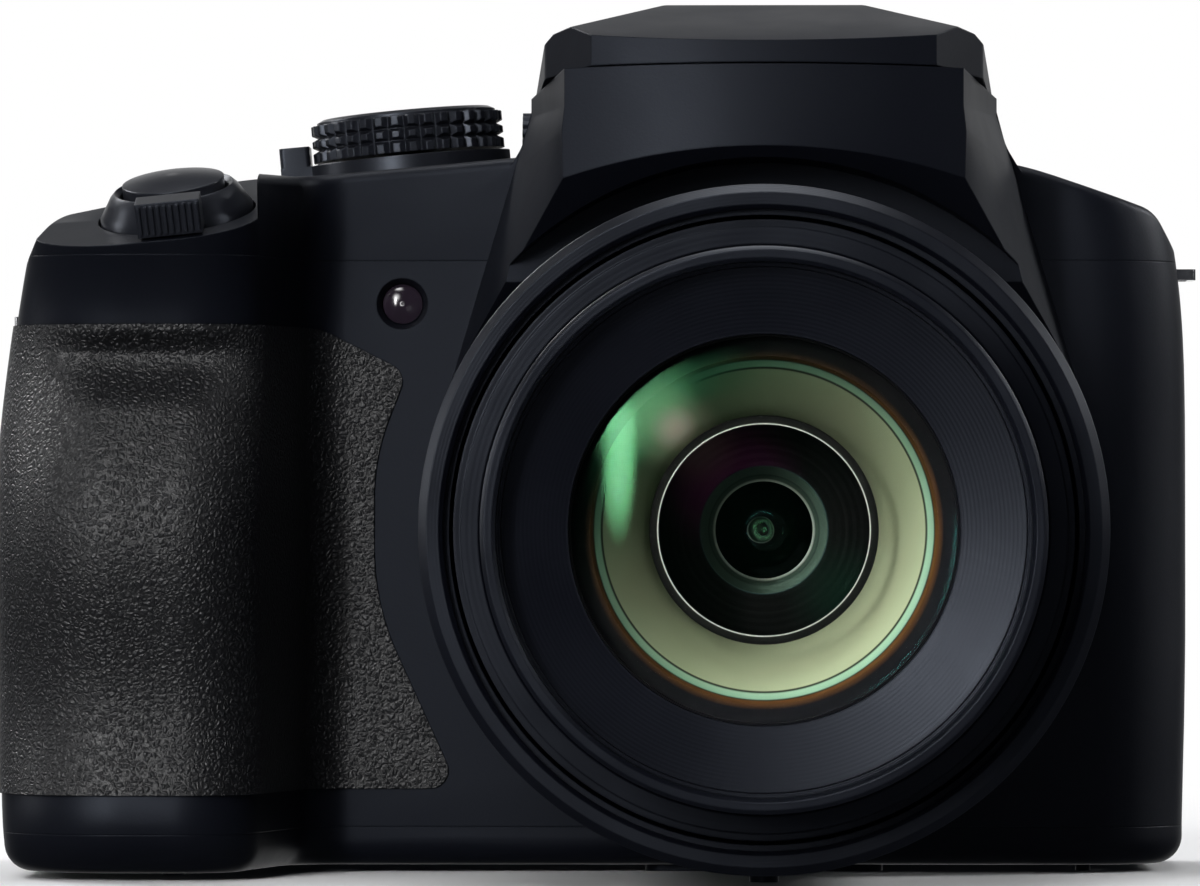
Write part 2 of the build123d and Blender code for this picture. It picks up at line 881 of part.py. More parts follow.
def front_lens_cell():
    """Black cell that holds the front glass, with a cone baffle behind it."""
    rim = front_barrel_front - name_ring_recess - barrel_wall - seat_gap
    seat = front_barrel_front - name_ring_recess - glass_crown - glass_edge - 2 * seat_gap
    outer = filter_radius - barrel_wall / 2 - seat_gap
    return turned([
        (outer, rim), (glass_radius + seat_gap, rim), (glass_radius + seat_gap, seat),
        (baffle_mouth, seat), (baffle_throat, seat - baffle_depth),
        (baffle_throat, seat - baffle_depth - barrel_wall),
        (baffle_mouth, seat - baffle_depth - barrel_wall),
        (outer - barrel_wall, seat - barrel_wall), (outer, seat - barrel_wall),
    ])


def guide_rods(gap):
    """Two steel rods that carry the zoom cell."""
    back = -(sensor_y - wall)
    return rod(rod_radius + gap, rod_place, lens_axis_height, -rod_front, -back) + rod(
        rod_radius + gap, -rod_place, lens_axis_height, -rod_front, -back)


def zoom_lens_cell():
    """Sliding cell of the inner group, which runs on the guide rods."""
    outer, glass = zoom_cell_radius, zoom_glass_radius + seat_gap
    back = zoom_front - zoom_depth
    cell = turned([
        (outer, zoom_front - barrel_wall), (glass + barrel_wall, zoom_front),
        (glass, zoom_front), (glass, back + barrel_wall),
        (glass - barrel_wall, back + barrel_wall), (glass - barrel_wall, back), (outer, back),
    ])
    return cell - guide_rods(seat_gap)


def lens_disc(radius, front, depth, crown):
    """A glass with a crowned face and a flat back, given by how far forward its rim lies."""
    face = crown_arc(radius, front, crown)
    rest = Polyline((radius, -front), (radius, depth - front), (0, depth - front), (0, -front - crown))
    return Pos(0, 0, lens_axis_height) * revolve(make_face([face, rest]), Axis.Y)


def zoom_lens():
    return lens_disc(zoom_glass_radius, zoom_front - zoom_glass_crown - seat_gap,
                     zoom_depth - barrel_wall - zoom_glass_crown - 2 * seat_gap, zoom_glass_crown)


def iris_unit():
    """Thin ring of closed leaves against the back of the zoom cell."""
    front = zoom_front - zoom_depth - seat_gap
    return turned([
        (zoom_cell_radius - 2 * barrel_wall - rod_radius, front), (iris_opening, front),
        (iris_opening, front - iris_depth),
        (zoom_cell_radius - 2 * barrel_wall - rod_radius, front - iris_depth),
    ])


def rear_lens():
    """Last glass, in the throat of the fixed barrel."""
    return lens_disc(lens_throat - seat_gap, -(sensor_y - wall) + rear_glass_depth,
                     rear_glass_depth - seat_gap, zoom_glass_crown)


def image_sensor():
    front = sensor_y + seat_gap
    return block(-sensor_half_width, sensor_half_width, front, front + sensor_thickness,
                 lens_axis_height - sensor_half_height, lens_axis_height + sensor_half_height)


def sensor_bracket():
    """Sheet plate that holds the sensor against the back of the lens."""
    front = sensor_y + seat_gap
    back = front + sensor_thickness + bracket_thickness
    outline = filled(
        [
            (-bracket_half, lens_axis_height - bracket_half),
            (bracket_half, lens_axis_height - bracket_half),
            (bracket_half, lens_axis_height + bracket_half),
            (-bracket_half, lens_axis_height + bracket_half),
        ],
        wall,
    )
    plate = front_prism(outline, sensor_y - wall + seat_gap, back)
    seat = block(
        -sensor_half_width - seat_gap, sensor_half_width + seat_gap, -overrun,
        front + sensor_thickness, lens_axis_height - sensor_half_height - seat_gap,
        lens_axis_height + sensor_half_height + seat_gap,
    )
    return plate - seat - rod(lens_throat, 0, lens_axis_height, -overrun, front)


def chassis():
    """Pressed metal plate, lightened by slots, on four posts that reach the lens flange."""
    low, high = lens_axis_height - chassis_half_height, lens_axis_height + chassis_half_height
    plate = block(
        chassis_left, chassis_right, chassis_front, chassis_front + chassis_thickness, low, high,
    )
    for side in (-1, 1):
        for level in (-1, 1):
            plate = plate - rod(bracket_half / 3, side * 2 * bracket_half,
                                lens_axis_height + level * bracket_half,
                                chassis_front - wall, chassis_front + wall)
    for side in (-1, 1):
        plate = plate + block(side * bracket_half - chassis_post_radius,
                              side * bracket_half + chassis_post_radius,
                              sensor_y + seat_gap + sensor_thickness + bracket_thickness, chassis_front,
                              low + wall, low + wall + bracket_half)
    return plate


def main_board():
    """Circuit board on the chassis, with its chips."""
    front = chassis_front + chassis_thickness
    low = lens_axis_height - chassis_half_height + wall
    high = lens_axis_height + chassis_half_height - wall
    board = block(chassis_left + wall, chassis_right - wall, front, front + board_thickness, low, high)
    for x, z, half in chips:
        board = board + block(x - half, x + half, front + board_thickness,
                              front + board_thickness + chip_height,
                              z - half, z + half)
    return board


# Power
def battery():
    return plan_prism(
        Pos(
            battery_left + battery_width / 2, battery_front + battery_depth / 2,
        ) * RectangleRounded(battery_width, battery_depth, wall),
        battery_floor, battery_floor + battery_height,
    )


def memory_card():
    """Card with its cut corner."""
    top = battery_floor + card_length
    back = card_front + card_depth
    outline = Polygon((card_front, battery_floor), (back, battery_floor), (back, top),
                      (card_front + 2 * wall, top),
                      (card_front, top - 2 * wall), align=None)
    return side_prism(outline, card_left, card_left + card_thickness)


def battery_tray():
    """Open-bottomed box for the battery with the card slot beside it."""
    low = battery_floor + tray_wall
    left, right = battery_left - tray_wall, battery_left + battery_width + tray_wall
    front, back = battery_front - tray_wall, battery_front + battery_depth + tray_wall
    box = block(left, right, front, back, low, battery_floor + battery_height + tray_wall + seat_gap)
    room = block(
        battery_left - seat_gap, battery_left + battery_width + seat_gap,
        battery_front - seat_gap, battery_front + battery_depth + seat_gap, -overrun,
        battery_floor + battery_height + seat_gap,
    )
    slot = block(right, card_left + card_thickness + tray_wall, card_front - tray_wall,
                 card_front + card_depth + tray_wall,
                 low, battery_floor + card_length + tray_wall + seat_gap)
    card = block(card_left - seat_gap, card_left + card_thickness + seat_gap, card_front - seat_gap,
                 card_front + card_depth + seat_gap, -overrun, battery_floor + card_length + seat_gap)
    return (box + slot) - room - card


def battery_door():
    """Shaped door with a small foot, a knuckle along its inner edge and a slot for the latch."""
    low, high = base_height, base_height + door_thickness
    plate = plan_prism(door_outline(press_gap), low, high)
    arm = block(card_left, door_hinge_x, door_hinge_front + 2 * door_pin_radius,
                door_hinge_back - 2 * door_pin_radius, low + press_gap, high)
    knuckle = rod(door_knuckle, door_hinge_x, door_hinge_z, door_hinge_front + 2 * door_pin_radius,
                  door_hinge_back - 2 * door_pin_radius)
    plate = plate + arm + knuckle - rod(door_pin_radius + seat_gap, door_hinge_x, door_hinge_z,
                                        -overrun, overrun)
    x, y, radius = door_pip
    return plate + post(radius, x, y, 0, low) - latch_room()


def door_pin():
    return rod(
        door_pin_radius, door_hinge_x, door_hinge_z, door_hinge_front - wall,
        door_hinge_back + wall,
    )


def latch_room():
    """Slot in the door that the latch slides in."""
    left = battery_left - tray_wall - overrun
    return block(
        left, battery_left + latch_length + latch_travel + slip_gap,
        latch_y - latch_width / 2 - slip_gap, latch_y + latch_width / 2 + slip_gap,
        base_height + door_thickness / 2, overrun,
    ) + block(
        battery_left + latch_width - slip_gap,
        battery_left + latch_length + latch_travel + slip_gap,
        latch_y - latch_width / 2 - slip_gap, latch_y + latch_width / 2 + slip_gap, -overrun,
        overrun,
    )


def door_latch():
    """Sliding bolt, drawn back, whose thumb piece shows in the door; its tip slides over the base."""
    low = base_height + door_thickness / 2 + press_gap
    tip = battery_left - tray_wall - latch_reach
    bolt = block(tip + latch_travel, battery_left + latch_length + latch_travel,
                 latch_y - latch_width / 2, latch_y + latch_width / 2, low, low + latch_height)
    thumb = block(
        battery_left + latch_width + latch_travel, battery_left + latch_length + latch_travel,
        latch_y - latch_width / 2, latch_y + latch_width / 2, base_height, low + latch_height,
    )
    return bolt + thumb


def latch_notch():
    """Slot in the base that the bolt's tip enters."""
    low = base_height + door_thickness / 2
    left = battery_left - tray_wall - latch_reach - slip_gap
    return block(left, battery_left, latch_y - latch_width / 2 - slip_gap,
                 latch_y + latch_width / 2 + slip_gap,
                 low, low + latch_height + 2 * slip_gap)


def door_pin_room():
    pin = rod(
        door_pin_radius, door_hinge_x, door_hinge_z, door_hinge_front - wall,
        door_hinge_back + wall,
    )
    return pin + latch_notch()


def zoom_lever():
    """Ring round the shutter button with a ribbed tab in front."""
    section = [
        (lever_inner, -lever_base), (lever_outer, -lever_base), (lever_outer, lever_skirt),
        (lever_outer - lever_slant,
         lever_height - wall / 4), (lever_outer - lever_slant - wall / 4, lever_height),
        (lever_inner + wall / 4, lever_height), (lever_inner, lever_height - wall / 4),
    ]
    ring = upright(section)
    tab = block(-tab_half, tab_half, -tab_front, -tab_back, slip_gap, tab_height)
    pitch = 2 * tab_half / tab_ribs
    for index in range(tab_ribs):
        x = -tab_half + (index + 0.5) * pitch
        tab = tab + block(x - pitch / 4, x + pitch / 4, -tab_front - tab_rib_depth, -tab_front,
                          slip_gap + tab_rib_depth,
                          tab_height - tab_rib_depth)
    return shutter_place * (ring + (tab - Cylinder(lever_inner + wall / 4, 4 * overrun)))


def shutter_button():
    """Domed button on a stem that passes into the deck."""
    low = wall / 4
    foot = -2 * wall
    shoulder = shutter_height - shutter_crown
    outline = Polyline((0, -shutter_height), (0, -foot), (shutter_stem, -foot), (shutter_stem, -low),
                       (shutter_radius, -low), (shutter_radius, -shoulder))
    section = make_face([outline, crown_arc(shutter_radius, shoulder, shutter_crown)])
    return shutter_place * Rot(-90, 0, 0) * revolve(section, Axis.Y)


def knurled_rim(radius, low, high, teeth, rows, depth):
    """Toothed disc cut by level grooves, which leaves rows of blunt studs."""
    points = []
    for index in range(teeth):
        for share, reach in ((0, radius - depth), (tooth_flank_share, radius),
                             (1 - tooth_flank_share, radius)):
            angle = (index + share) * 360 / teeth
            points.append((reach * cos(radians(angle)), reach * sin(radians(angle))))
    disc = extrude(Pos(0, 0, low) * Polygon(*points, align=None), amount=high - low)
    pitch = (high - low) / rows
    for row in range(1, rows):
        level = low + row * pitch
        disc = disc - upright([(radius - depth, level), (radius + depth / 2, level - depth * 0.75),
                               (radius + depth / 2, level + depth * 0.75)])
    return disc


def mode_dial():
    """Dial with three rows of studs, a chamfered cap and a stem."""
    rim_top = dial_high - dial_cap_inset / 2
    rim = knurled_rim(dial_radius, dial_low, rim_top, dial_teeth, dial_rows, dial_tooth)
    inner = dial_radius - dial_tooth
    cap = upright([(0, rim_top), (inner, rim_top), (inner, rim_top + dial_cap_inset / 4),
                   (inner - dial_cap_inset / 2, dial_high), (0, dial_high)])
    stem = upright([(0, -wall - slip_gap), (dial_stem, -wall - slip_gap), (dial_stem, dial_low),
                    (0, dial_low)])
    return dial_place * (rim + cap + stem)


def power_lever():
    """Thin ring round the dial's turret with a tab that stands beside the dial."""
    inner = dial_turret_radius + slip_gap
    ring = upright([(inner, lever_ring_lift), (inner + lever_ring, lever_ring_lift),
                    (inner + lever_ring, dial_turret_height - seat_gap),
                    (inner, dial_turret_height - seat_gap)])
    tab = block(-lever_tab_reach, -inner - lever_ring / 2, -lever_tab_half, lever_tab_half,
                lever_ring_lift, dial_turret_height - seat_gap)
    knob = block(-lever_tab_reach, -dial_radius - slip_gap, -lever_tab_half, lever_tab_half,
                 lever_ring_lift, lever_tab_height)
    knob = fillet(knob.edges().filter_by(Axis.Z), wall / 4)
    return dial_place * (ring + (tab - Cylinder(inner, 4 * overrun)) + knob)


def top_button(name):
    """Round button with a flange under the deck."""
    x, y, radius = top_buttons[name]
    deck = deck_step_height + (x + deck_step) * tan(radians(deck_tilt))
    low = top_seam + wall + seat_gap
    return post(radius, x, y, low - button_flange, deck + button_proud) + post(
        radius + button_flange, x, y, low - 2 * button_flange, low - button_flange)


def monitor_room():
    """Window through the back with a shallow bed for the glass."""
    window = block(monitor_left + monitor_lip, monitor_right - monitor_lip, cavity_back - wall,
                   face_back + wall,
                   monitor_low + monitor_lip, monitor_high - monitor_lip)
    bed = block(monitor_left, monitor_right, face_back - monitor_glass_depth, face_back + wall,
                monitor_low, monitor_high)
    return window + bed


def monitor_glass():
    gap = press_gap
    outline = filled(
        [
            (monitor_left + gap, monitor_low + gap), (monitor_right - gap, monitor_low + gap),
            (monitor_right - gap, monitor_high - gap), (monitor_left + gap, monitor_high - gap),
        ],
        wall / 4,
    )
    return front_prism(outline, face_back - monitor_glass_depth, face_back + skin_proud)


def monitor_panel():
    """Display module behind the glass, seated against the rear wall."""
    return block(monitor_left - monitor_lip, monitor_right - monitor_lip,
                 cavity_back - panel_depth, cavity_back,
                 monitor_low - monitor_lip, monitor_high + monitor_lip)


def thumb_rest_outline(gap):
    return filled(
        [
            (thumb_left + gap, thumb_low + gap), (thumb_right - gap, thumb_low + gap),
            (thumb_right - gap, thumb_high - gap), (thumb_left + gap, thumb_high - gap),
        ],
        2 * wall,
    )


def thumb_rest_room():
    return front_prism(thumb_rest_outline(0), face_back - thumb_depth, face_back + overrun)


def thumb_rest():
    """Rubber pad glued into its bed."""
    pad = front_prism(thumb_rest_outline(seat_gap), face_back - thumb_depth, face_back + thumb_depth)
    edges = pad.faces().sort_by(Axis.Y)[-1].edges()
    return fillet(edges, thumb_depth / 2)


def rear_dial_room():
    """Slot for the rear dial and the hole of its pin in the shelf."""
    slot = block(
        rear_dial_x - rear_dial_radius - slip_gap, rear_dial_x + rear_dial_radius + slip_gap,
        rear_dial_y - rear_dial_radius, face_back + overrun,
        rear_dial_z - rear_dial_half - slip_gap, rear_dial_z + rear_dial_half + slip_gap,
    )
    return slot + post(rear_dial_pin + seat_gap, rear_dial_x, rear_dial_y, rear_dial_z - 3 * wall,
                       rear_dial_z)


def rear_dial():
    """Knurled wheel on a short pin, which stands out of the back."""
    wheel = knurled_rim(
        rear_dial_radius, -rear_dial_half, rear_dial_half, dial_teeth, 1, dial_tooth / 2,
    )
    pin = Pos(0, 0, -(2 * wall) / 2) * Cylinder(rear_dial_pin, 2 * wall)
    return Pos(rear_dial_x, rear_dial_y, rear_dial_z) * (wheel + pin)


def rear_button(name):
    """Button through the rear wall with a flange inside it."""
    x, z, radius = rear_buttons[name]
    top = face_back + button_proud
    cap = rod(radius, x, z, cavity_back - button_flange, top)
    cap = cap + rod(
        radius + button_flange, x, z, cavity_back - 2 * button_flange, cavity_back - seat_gap,
    )
    if name == "cursor_pad":
        cap = cap - rod(set_radius + press_gap, x, z, cavity_back - wall, top + wall)
    return cap


def set_button():
    """Centre button inside the cursor pad."""
    x, z, _ = rear_buttons["cursor_pad"]
    return rod(set_radius, x, z, cavity_back - button_flange, face_back + button_proud + wall / 10)


# Flash unit on the lid
def lid():
    """Hollow lid with the flash block under its nose and a round back edge on the hinge."""
    slant = hinge_drop * cos(radians(45))
    side = [
        (-prow_reach - wall, lid_seam_front - 2 * wall), (-prow_reach - wall, lid_nose_height),
        (-lid_flat_front, hump_top), (hinge_y + hinge_drop, hump_top),
        (hinge_y + hinge_drop, hinge_z), (hinge_y + slant, hinge_z - slant),
        (hinge_y, hinge_z - hinge_drop), (hinge_y, lid_seam_back - wall),
    ]
    form = side_prism(filled(side, [0, wall / 2, 4 * wall, hinge_drop - press_gap, 0, 0, 0, 0]),
                      -hump_half, hump_half)
    front = [
        (-hump_half, viewfinder_shoulder - 2 * wall),
        (-hump_half, viewfinder_shoulder + wall / 2), (-lid_corner, lid_corner_height),
        (-lid_corner + wall / 2, lid_corner_height + wall / 2), (-lid_flat_half, hump_top),
        (lid_flat_half, hump_top), (lid_corner - wall / 2, lid_corner_height + wall / 2),
        (lid_corner, lid_corner_height), (hump_half, viewfinder_shoulder + wall / 2),
        (hump_half, viewfinder_shoulder - 2 * wall),
    ]
    form = form & front_prism(filled(front,
                                     [0, wall, wall / 4, wall / 4, wall, wall, wall / 4, wall / 4,
                                      wall, 0]), -prow_reach - overrun, overrun)
    plan = [
        (-lid_nose_half, -prow_reach - wall), (lid_nose_half, -prow_reach - wall),
        (lid_corner, -lid_shoulder_front), (hump_half, 0), (hump_half, overrun),
        (-hump_half, overrun), (-hump_half, 0), (-lid_corner, -lid_shoulder_front),
    ]
    form = form & plan_prism(filled(plan,
                                    [2 * wall, 2 * wall, 2 * wall, 2 * wall, 0, 0, 2 * wall,
                                     2 * wall]), 0, hump_top + wall) & bow()
    seam = Pos(0, 0, press_gap) * lid_side_of_seam()
    return form & seam


def lid_side_of_seam():
    """The seam's upper side, carried back past the viewfinder."""
    rise = (lid_seam_front - lid_seam_back) / (prow_reach + hinge_y)
    outline = Polygon(
        (-prow_reach - overrun, lid_seam_front + rise * overrun),
        (overrun, lid_seam_back - rise * (overrun - hinge_y)), (overrun, hump_top + overrun),
        (-prow_reach - overrun, hump_top + overrun), align=None,
    )
    return side_prism(outline, -body_width, body_width)


def flash_housing():
    """Lid, flash block and hinge slots in one moulding."""
    form = lid()
    room = block(-hump_half + 2 * lid_wall, hump_half - 2 * lid_wall, -flash_back + wall,
                 -lid_room_back, 0, hump_top - 2 * lid_wall)
    side = Polygon((-flash_front, hinge_z), (-flash_front, flash_block_nose),
                   (-flash_front + flash_block_nose - flash_floor, flash_floor),
                   (-flash_back, flash_floor), (-flash_back, hinge_z), align=None)
    nose = side_prism(side, -flash_half, flash_half)
    form = form - room + nose - reflector_room() - flash_window_room()
    for way in (-1, 1):
        form = form - block(way * lug_x - lug_half_width - slip_gap,
                            way * lug_x + lug_half_width + slip_gap, -lid_room_back - wall,
                            overrun, 0, hinge_z + lug_radius + slip_gap)
    return form - cross_rod(pin_radius + seat_gap, hinge_y, hinge_z, -lid_pin_half, lid_pin_half)


def flash_frame(gap):
    """Places the slanted flash opening: its centre on the block's cut nose, facing forward and down."""
    drop = (flash_block_nose - flash_floor) / 2
    return Pos(0, -flash_front + drop, flash_floor + drop) * Rot(45, 0, 0) * Pos(0, -gap, 0)


def reflector_room():
    """Trough behind the window, opening towards it."""
    return flash_frame(0) * Pos(0, reflector_depth / 2, 0) * Box(
        2 * flash_window_half, reflector_depth, reflector_mouth,
    )


def flash_window_room():
    return flash_frame(0) * Box(2 * flash_window_half + 2 * slip_gap, 2 * flash_window_thickness,
                                flash_window_size - wall / 2)


def flash_reflector():
    """Bright trough with a bowed back that opens towards the window."""
    outer = Box(2 * flash_window_half - 2 * seat_gap,
                reflector_depth - flash_window_thickness - 2 * seat_gap, reflector_mouth - 2 * seat_gap)
    place = flash_frame(0) * Pos(0, (reflector_depth + flash_window_thickness) / 2, 0)
    hollow = Rot(0, 90, 0) * Cylinder(reflector_mouth / 2 - reflector_wall,
                                      2 * flash_window_half - 4 * reflector_wall)
    opening = Pos(0, -reflector_depth / 2, 0) * Box(
        2 * flash_window_half - 4 * reflector_wall, reflector_depth,
        reflector_mouth - 2 * reflector_wall,
    )
    return place * (outer - hollow - opening)


def flash_tube():
    """Glass tube that lies along the back of the reflector."""
    length = 2 * flash_window_half - 4 * reflector_wall - 2 * seat_gap
    return flash_frame(0) * Pos(
        0, (reflector_depth + flash_window_thickness) / 2 + reflector_wall / 2, 0,
    ) * Rot(0, 90, 0) * Cylinder(flash_tube_radius - reflector_wall / 2, length)


def flash_window():
    return flash_frame(0) * Pos(0, flash_window_thickness / 2 + seat_gap, 0) * Box(
        2 * flash_window_half, flash_window_thickness - 2 * seat_gap,
        flash_window_size - wall / 2 - 2 * seat_gap,
    )


def flash_hinge_pin():
    return cross_rod(pin_radius, hinge_y, hinge_z, -lid_pin_half + slip_gap, lid_pin_half - slip_gap)


def eyecup_centre():
    return (eyecup_low + eyecup_high) / 2


def eyecup_ring(inset, low, high):
    height = (eyecup_high - eyecup_low) / 2 - inset
    width = eyecup_half_width - inset
    middle = eyecup_centre()
    outline = filled([(-width, middle - height), (width, middle - height),
                      (width, middle + height), (-width, middle + height)],
                     height * 0.6)
    return front_prism(outline, low, high)


def eyecup():
    """Rubber cup: flared out towards the eye and hollow through."""
    collar = eyecup_ring(wall, face_back, face_back + 2 * wall)
    narrow = eyecup_section(wall, face_back + 2 * wall)
    wide = eyecup_section(0, face_back + eyecup_depth)
    flare = loft([narrow, wide])
    bore_in = eyecup_section(wall + eyecup_wall, face_back + 2 * wall)
    bore_out = eyecup_section(eyecup_wall / 2, face_back + eyecup_depth)
    inside = loft([bore_in, bore_out])
    return collar + flare - inside - eyecup_ring(
        wall + eyecup_wall, face_back - wall, face_back + 2 * wall + seat_gap,
    )


def eyecup_section(inset, y):
    """The cup's outline at one distance back."""
    height = (eyecup_high - eyecup_low) / 2 - inset
    width = eyecup_half_width - inset
    middle = eyecup_centre()
    outline = filled([(-width, middle - height), (width, middle - height),
                      (width, middle + height), (-width, middle + height)],
                     height * 0.6)
    return Plane.XZ.offset(-y) * outline


def eyecup_room():
    """Seat of the eyepiece in the viewfinder's back wall."""
    return block(-viewfinder_half, viewfinder_half, face_back - wall, face_back + overrun,
                 top_seam + 3 * wall, viewfinder_top_back - wall)


def eyepiece_lens():
    low, high = top_seam + 3 * wall + seat_gap, viewfinder_top_back - wall - seat_gap
    glass = block(-viewfinder_half + seat_gap, viewfinder_half - seat_gap,
                  face_back - eyepiece_thickness - wall / 2, face_back - wall / 2, low, high)
    return fillet(glass.edges().filter_by(Axis.Y), wall / 2)


def viewfinder_display():
    front = viewfinder_front + wall + seat_gap
    low = top_seam + 3 * wall + seat_gap
    return block(-display_half_width, display_half_width, front, front + display_thickness, low,
                 low + display_height)


def diopter_room():
    return cross_rod(diopter_radius + press_gap, diopter_y, diopter_z, -hump_half - wall,
                     -hump_half + diopter_seat)


def diopter_dial():
    """Small knurled wheel on the side of the hump."""
    low = -hump_half + diopter_seat - seat_gap
    wheel = knurled_rim(diopter_radius, 0, diopter_thickness + diopter_seat, diopter_teeth, 1,
                        dial_tooth / 2)
    return Pos(low, diopter_y, diopter_z) * Rot(0, -90, 0) * wheel


def flash_switch_room():
    """Slot on the hump's right-hand side for the flash catch."""
    return block(
        hump_half - 2 * wall - slip_gap, hump_half + overrun, switch_y - switch_half - slip_gap,
        switch_y + switch_half + switch_travel + slip_gap,
        switch_z - switch_half_height - slip_gap - 2 * wall,
        switch_z + switch_half_height + slip_gap - 2 * wall,
    )


def flash_switch():
    """Sliding catch that frees the flash."""
    z = switch_z - 2 * wall
    body = block(hump_half - 2 * wall, hump_half + slip_gap, switch_y - switch_half,
                 switch_y + switch_half, z - switch_half_height, z + switch_half_height)
    for index in range(3):
        y = switch_y + (index - 1) * wall
        body = body + block(hump_half + slip_gap, hump_half + 2 * slip_gap, y - wall / 4,
                            y + wall / 4, z - switch_half_height, z + switch_half_height)
    return body


def terminal_face():
    """The bed of the side door, a little under the side."""
    return side_right - terminal_thickness - press_gap - skin_proud


def terminal_room():
    bed = block(terminal_face(), side_right + overrun, terminal_front, terminal_back, terminal_low,
                terminal_high)
    holes = Part()
    for z, length, width in sockets:
        y = (terminal_front + terminal_back) / 2
        holes = holes + block(cavity_right - wall, terminal_face(), y - width / 2, y + width / 2,
                              z - length / 2, z + length / 2)
    knuckle = post(terminal_knuckle + press_gap, terminal_hinge_x(), terminal_hinge_y(),
                   terminal_low, terminal_high)
    return bed + holes + knuckle


def terminal_hinge_x():
    return terminal_face() + terminal_knuckle + press_gap


def terminal_hinge_y():
    return terminal_front + terminal_knuckle + press_gap


def terminal_door():
    """Thin door with its knuckle along the front edge."""
    gap = press_gap
    plate = block(terminal_face() + gap, terminal_face() + gap + terminal_thickness,
                  terminal_hinge_y(), terminal_back - gap,
                  terminal_low + gap, terminal_high - gap)
    return plate + post(terminal_knuckle, terminal_hinge_x(), terminal_hinge_y(),
                        terminal_low + gap, terminal_high - gap)


def terminal_sockets():
    """Metal shells of the sockets, each a tube of its own, behind the side door."""
    shells = Part()
    for z, length, width in sockets:
        y = (terminal_front + terminal_back) / 2
        low, high = cavity_right - 2 * wall, terminal_face() - seat_gap
        gap = seat_gap
        shell = block(low, high, y - width / 2 + gap, y + width / 2 - gap, z - length / 2 + gap,
                      z + length / 2 - gap)
        shell = shell - block(low + socket_wall, high + wall, y - width / 2 + socket_wall,
                              y + width / 2 - socket_wall,
                              z - length / 2 + socket_wall, z + length / 2 - socket_wall)
        shells = shells + shell
    return shells


def strap_lug_room():
    """Slots in the sides that the lug plates sit in."""
    y_low, y_high = lug_y - lug_loop_half - slip_gap, lug_y + lug_loop_half + slip_gap
    thick = lug_wire + seat_gap
    left = block(side_left - wall, side_left + lug_left_inset + lug_root + slip_gap, y_low, y_high,
                 lug_left_z - thick, lug_left_z + thick)
    right = block(side_right - lug_right_inset - lug_root - slip_gap, side_right + wall, y_low, y_high,
                  lug_right_z - thick, lug_right_z + thick)
    return left + right


def strap_lug(way, side, z):
    """Flat steel loop whose root is held in the side; the slot for the strap shows outside."""
    root, tip = side - way * lug_root, side + way * lug_proud
    low, high = min(root, tip), max(root, tip)
    plate = block(low, high, lug_y - lug_loop_half, lug_y + lug_loop_half, z - lug_wire, z + lug_wire)
    plate = fillet(plate.edges().filter_by(Axis.Z), lug_wire)
    slot_low, slot_high = min(side, tip - way * lug_rim), max(side, tip - way * lug_rim)
    return plate - block(slot_low, slot_high, lug_y - lug_loop_half + lug_rim,
                         lug_y + lug_loop_half - lug_rim, -overrun, hump_top)


def assist_lamp():
    """Clear window of the assist lamp with a bowed face."""
    back = lamp_ring - seat_gap
    front = front_reach - lamp_depth
    face = crown_arc(back, front, lamp_bow)
    rest = Polyline(
        (back, -front), (back, wall / 2 - front), (0, wall / 2 - front), (0, -front - lamp_bow),
    )
    return Pos(lamp_x, 0, lamp_z) * revolve(make_face([face, rest]), Axis.Y)


# Base
def tripod_socket():
    """Threaded steel insert pressed into the base."""
    return post(socket_radius, 0, 0, 0, socket_depth) - post(screw_radius, 0, 0, 0, screw_depth)


def base_pips():
    """Two small feet: under the lens and under the far end."""
    barrel = rod(barrel_radius, 0, lens_axis_height, -barrel_front, face_front)
    lens_pip = post(lens_pip_radius, 0, lens_pip_y, 0, lens_axis_height - barrel_radius + wall) - barrel
    solids = [post(radius, x, y, 0, base_height) for x, y, radius in pips]
    return Compound(children=[*solids, lens_pip.solids().sort_by(Axis.Z)[0]])


def base_screws():
    """Countersunk screws in the base, flush with it."""
    solids = []
    for x, y in screw_places:
        profile = upright([(0, base_height), (screw_head, base_height),
                           (screw_shank, base_height + screw_head - screw_shank),
                           (screw_shank, base_height + screw_length), (0, base_height + screw_length)])
        solids.append(Pos(x, y, 0) * profile)
    return Compound(children=solids)


def screw_rooms():
    room = Part()
    for x, y in screw_places:
        room = room + Pos(x, y, 0) * upright([
            (0, -wall), (screw_head + seat_gap, -wall), (screw_head + seat_gap, base_height),
            (screw_shank + seat_gap, base_height + screw_head - screw_shank),
            (screw_shank + seat_gap, base_height + screw_length + seat_gap),
            (0, base_height + screw_length + seat_gap),
        ])
    return room


def strap_lugs():
    left = strap_lug(-1, side_left + lug_left_inset, lug_left_z)
    right = strap_lug(1, side_right - lug_right_inset, lug_right_z)
    return Compound(children=[left.solids()[0], right.solids()[0]])


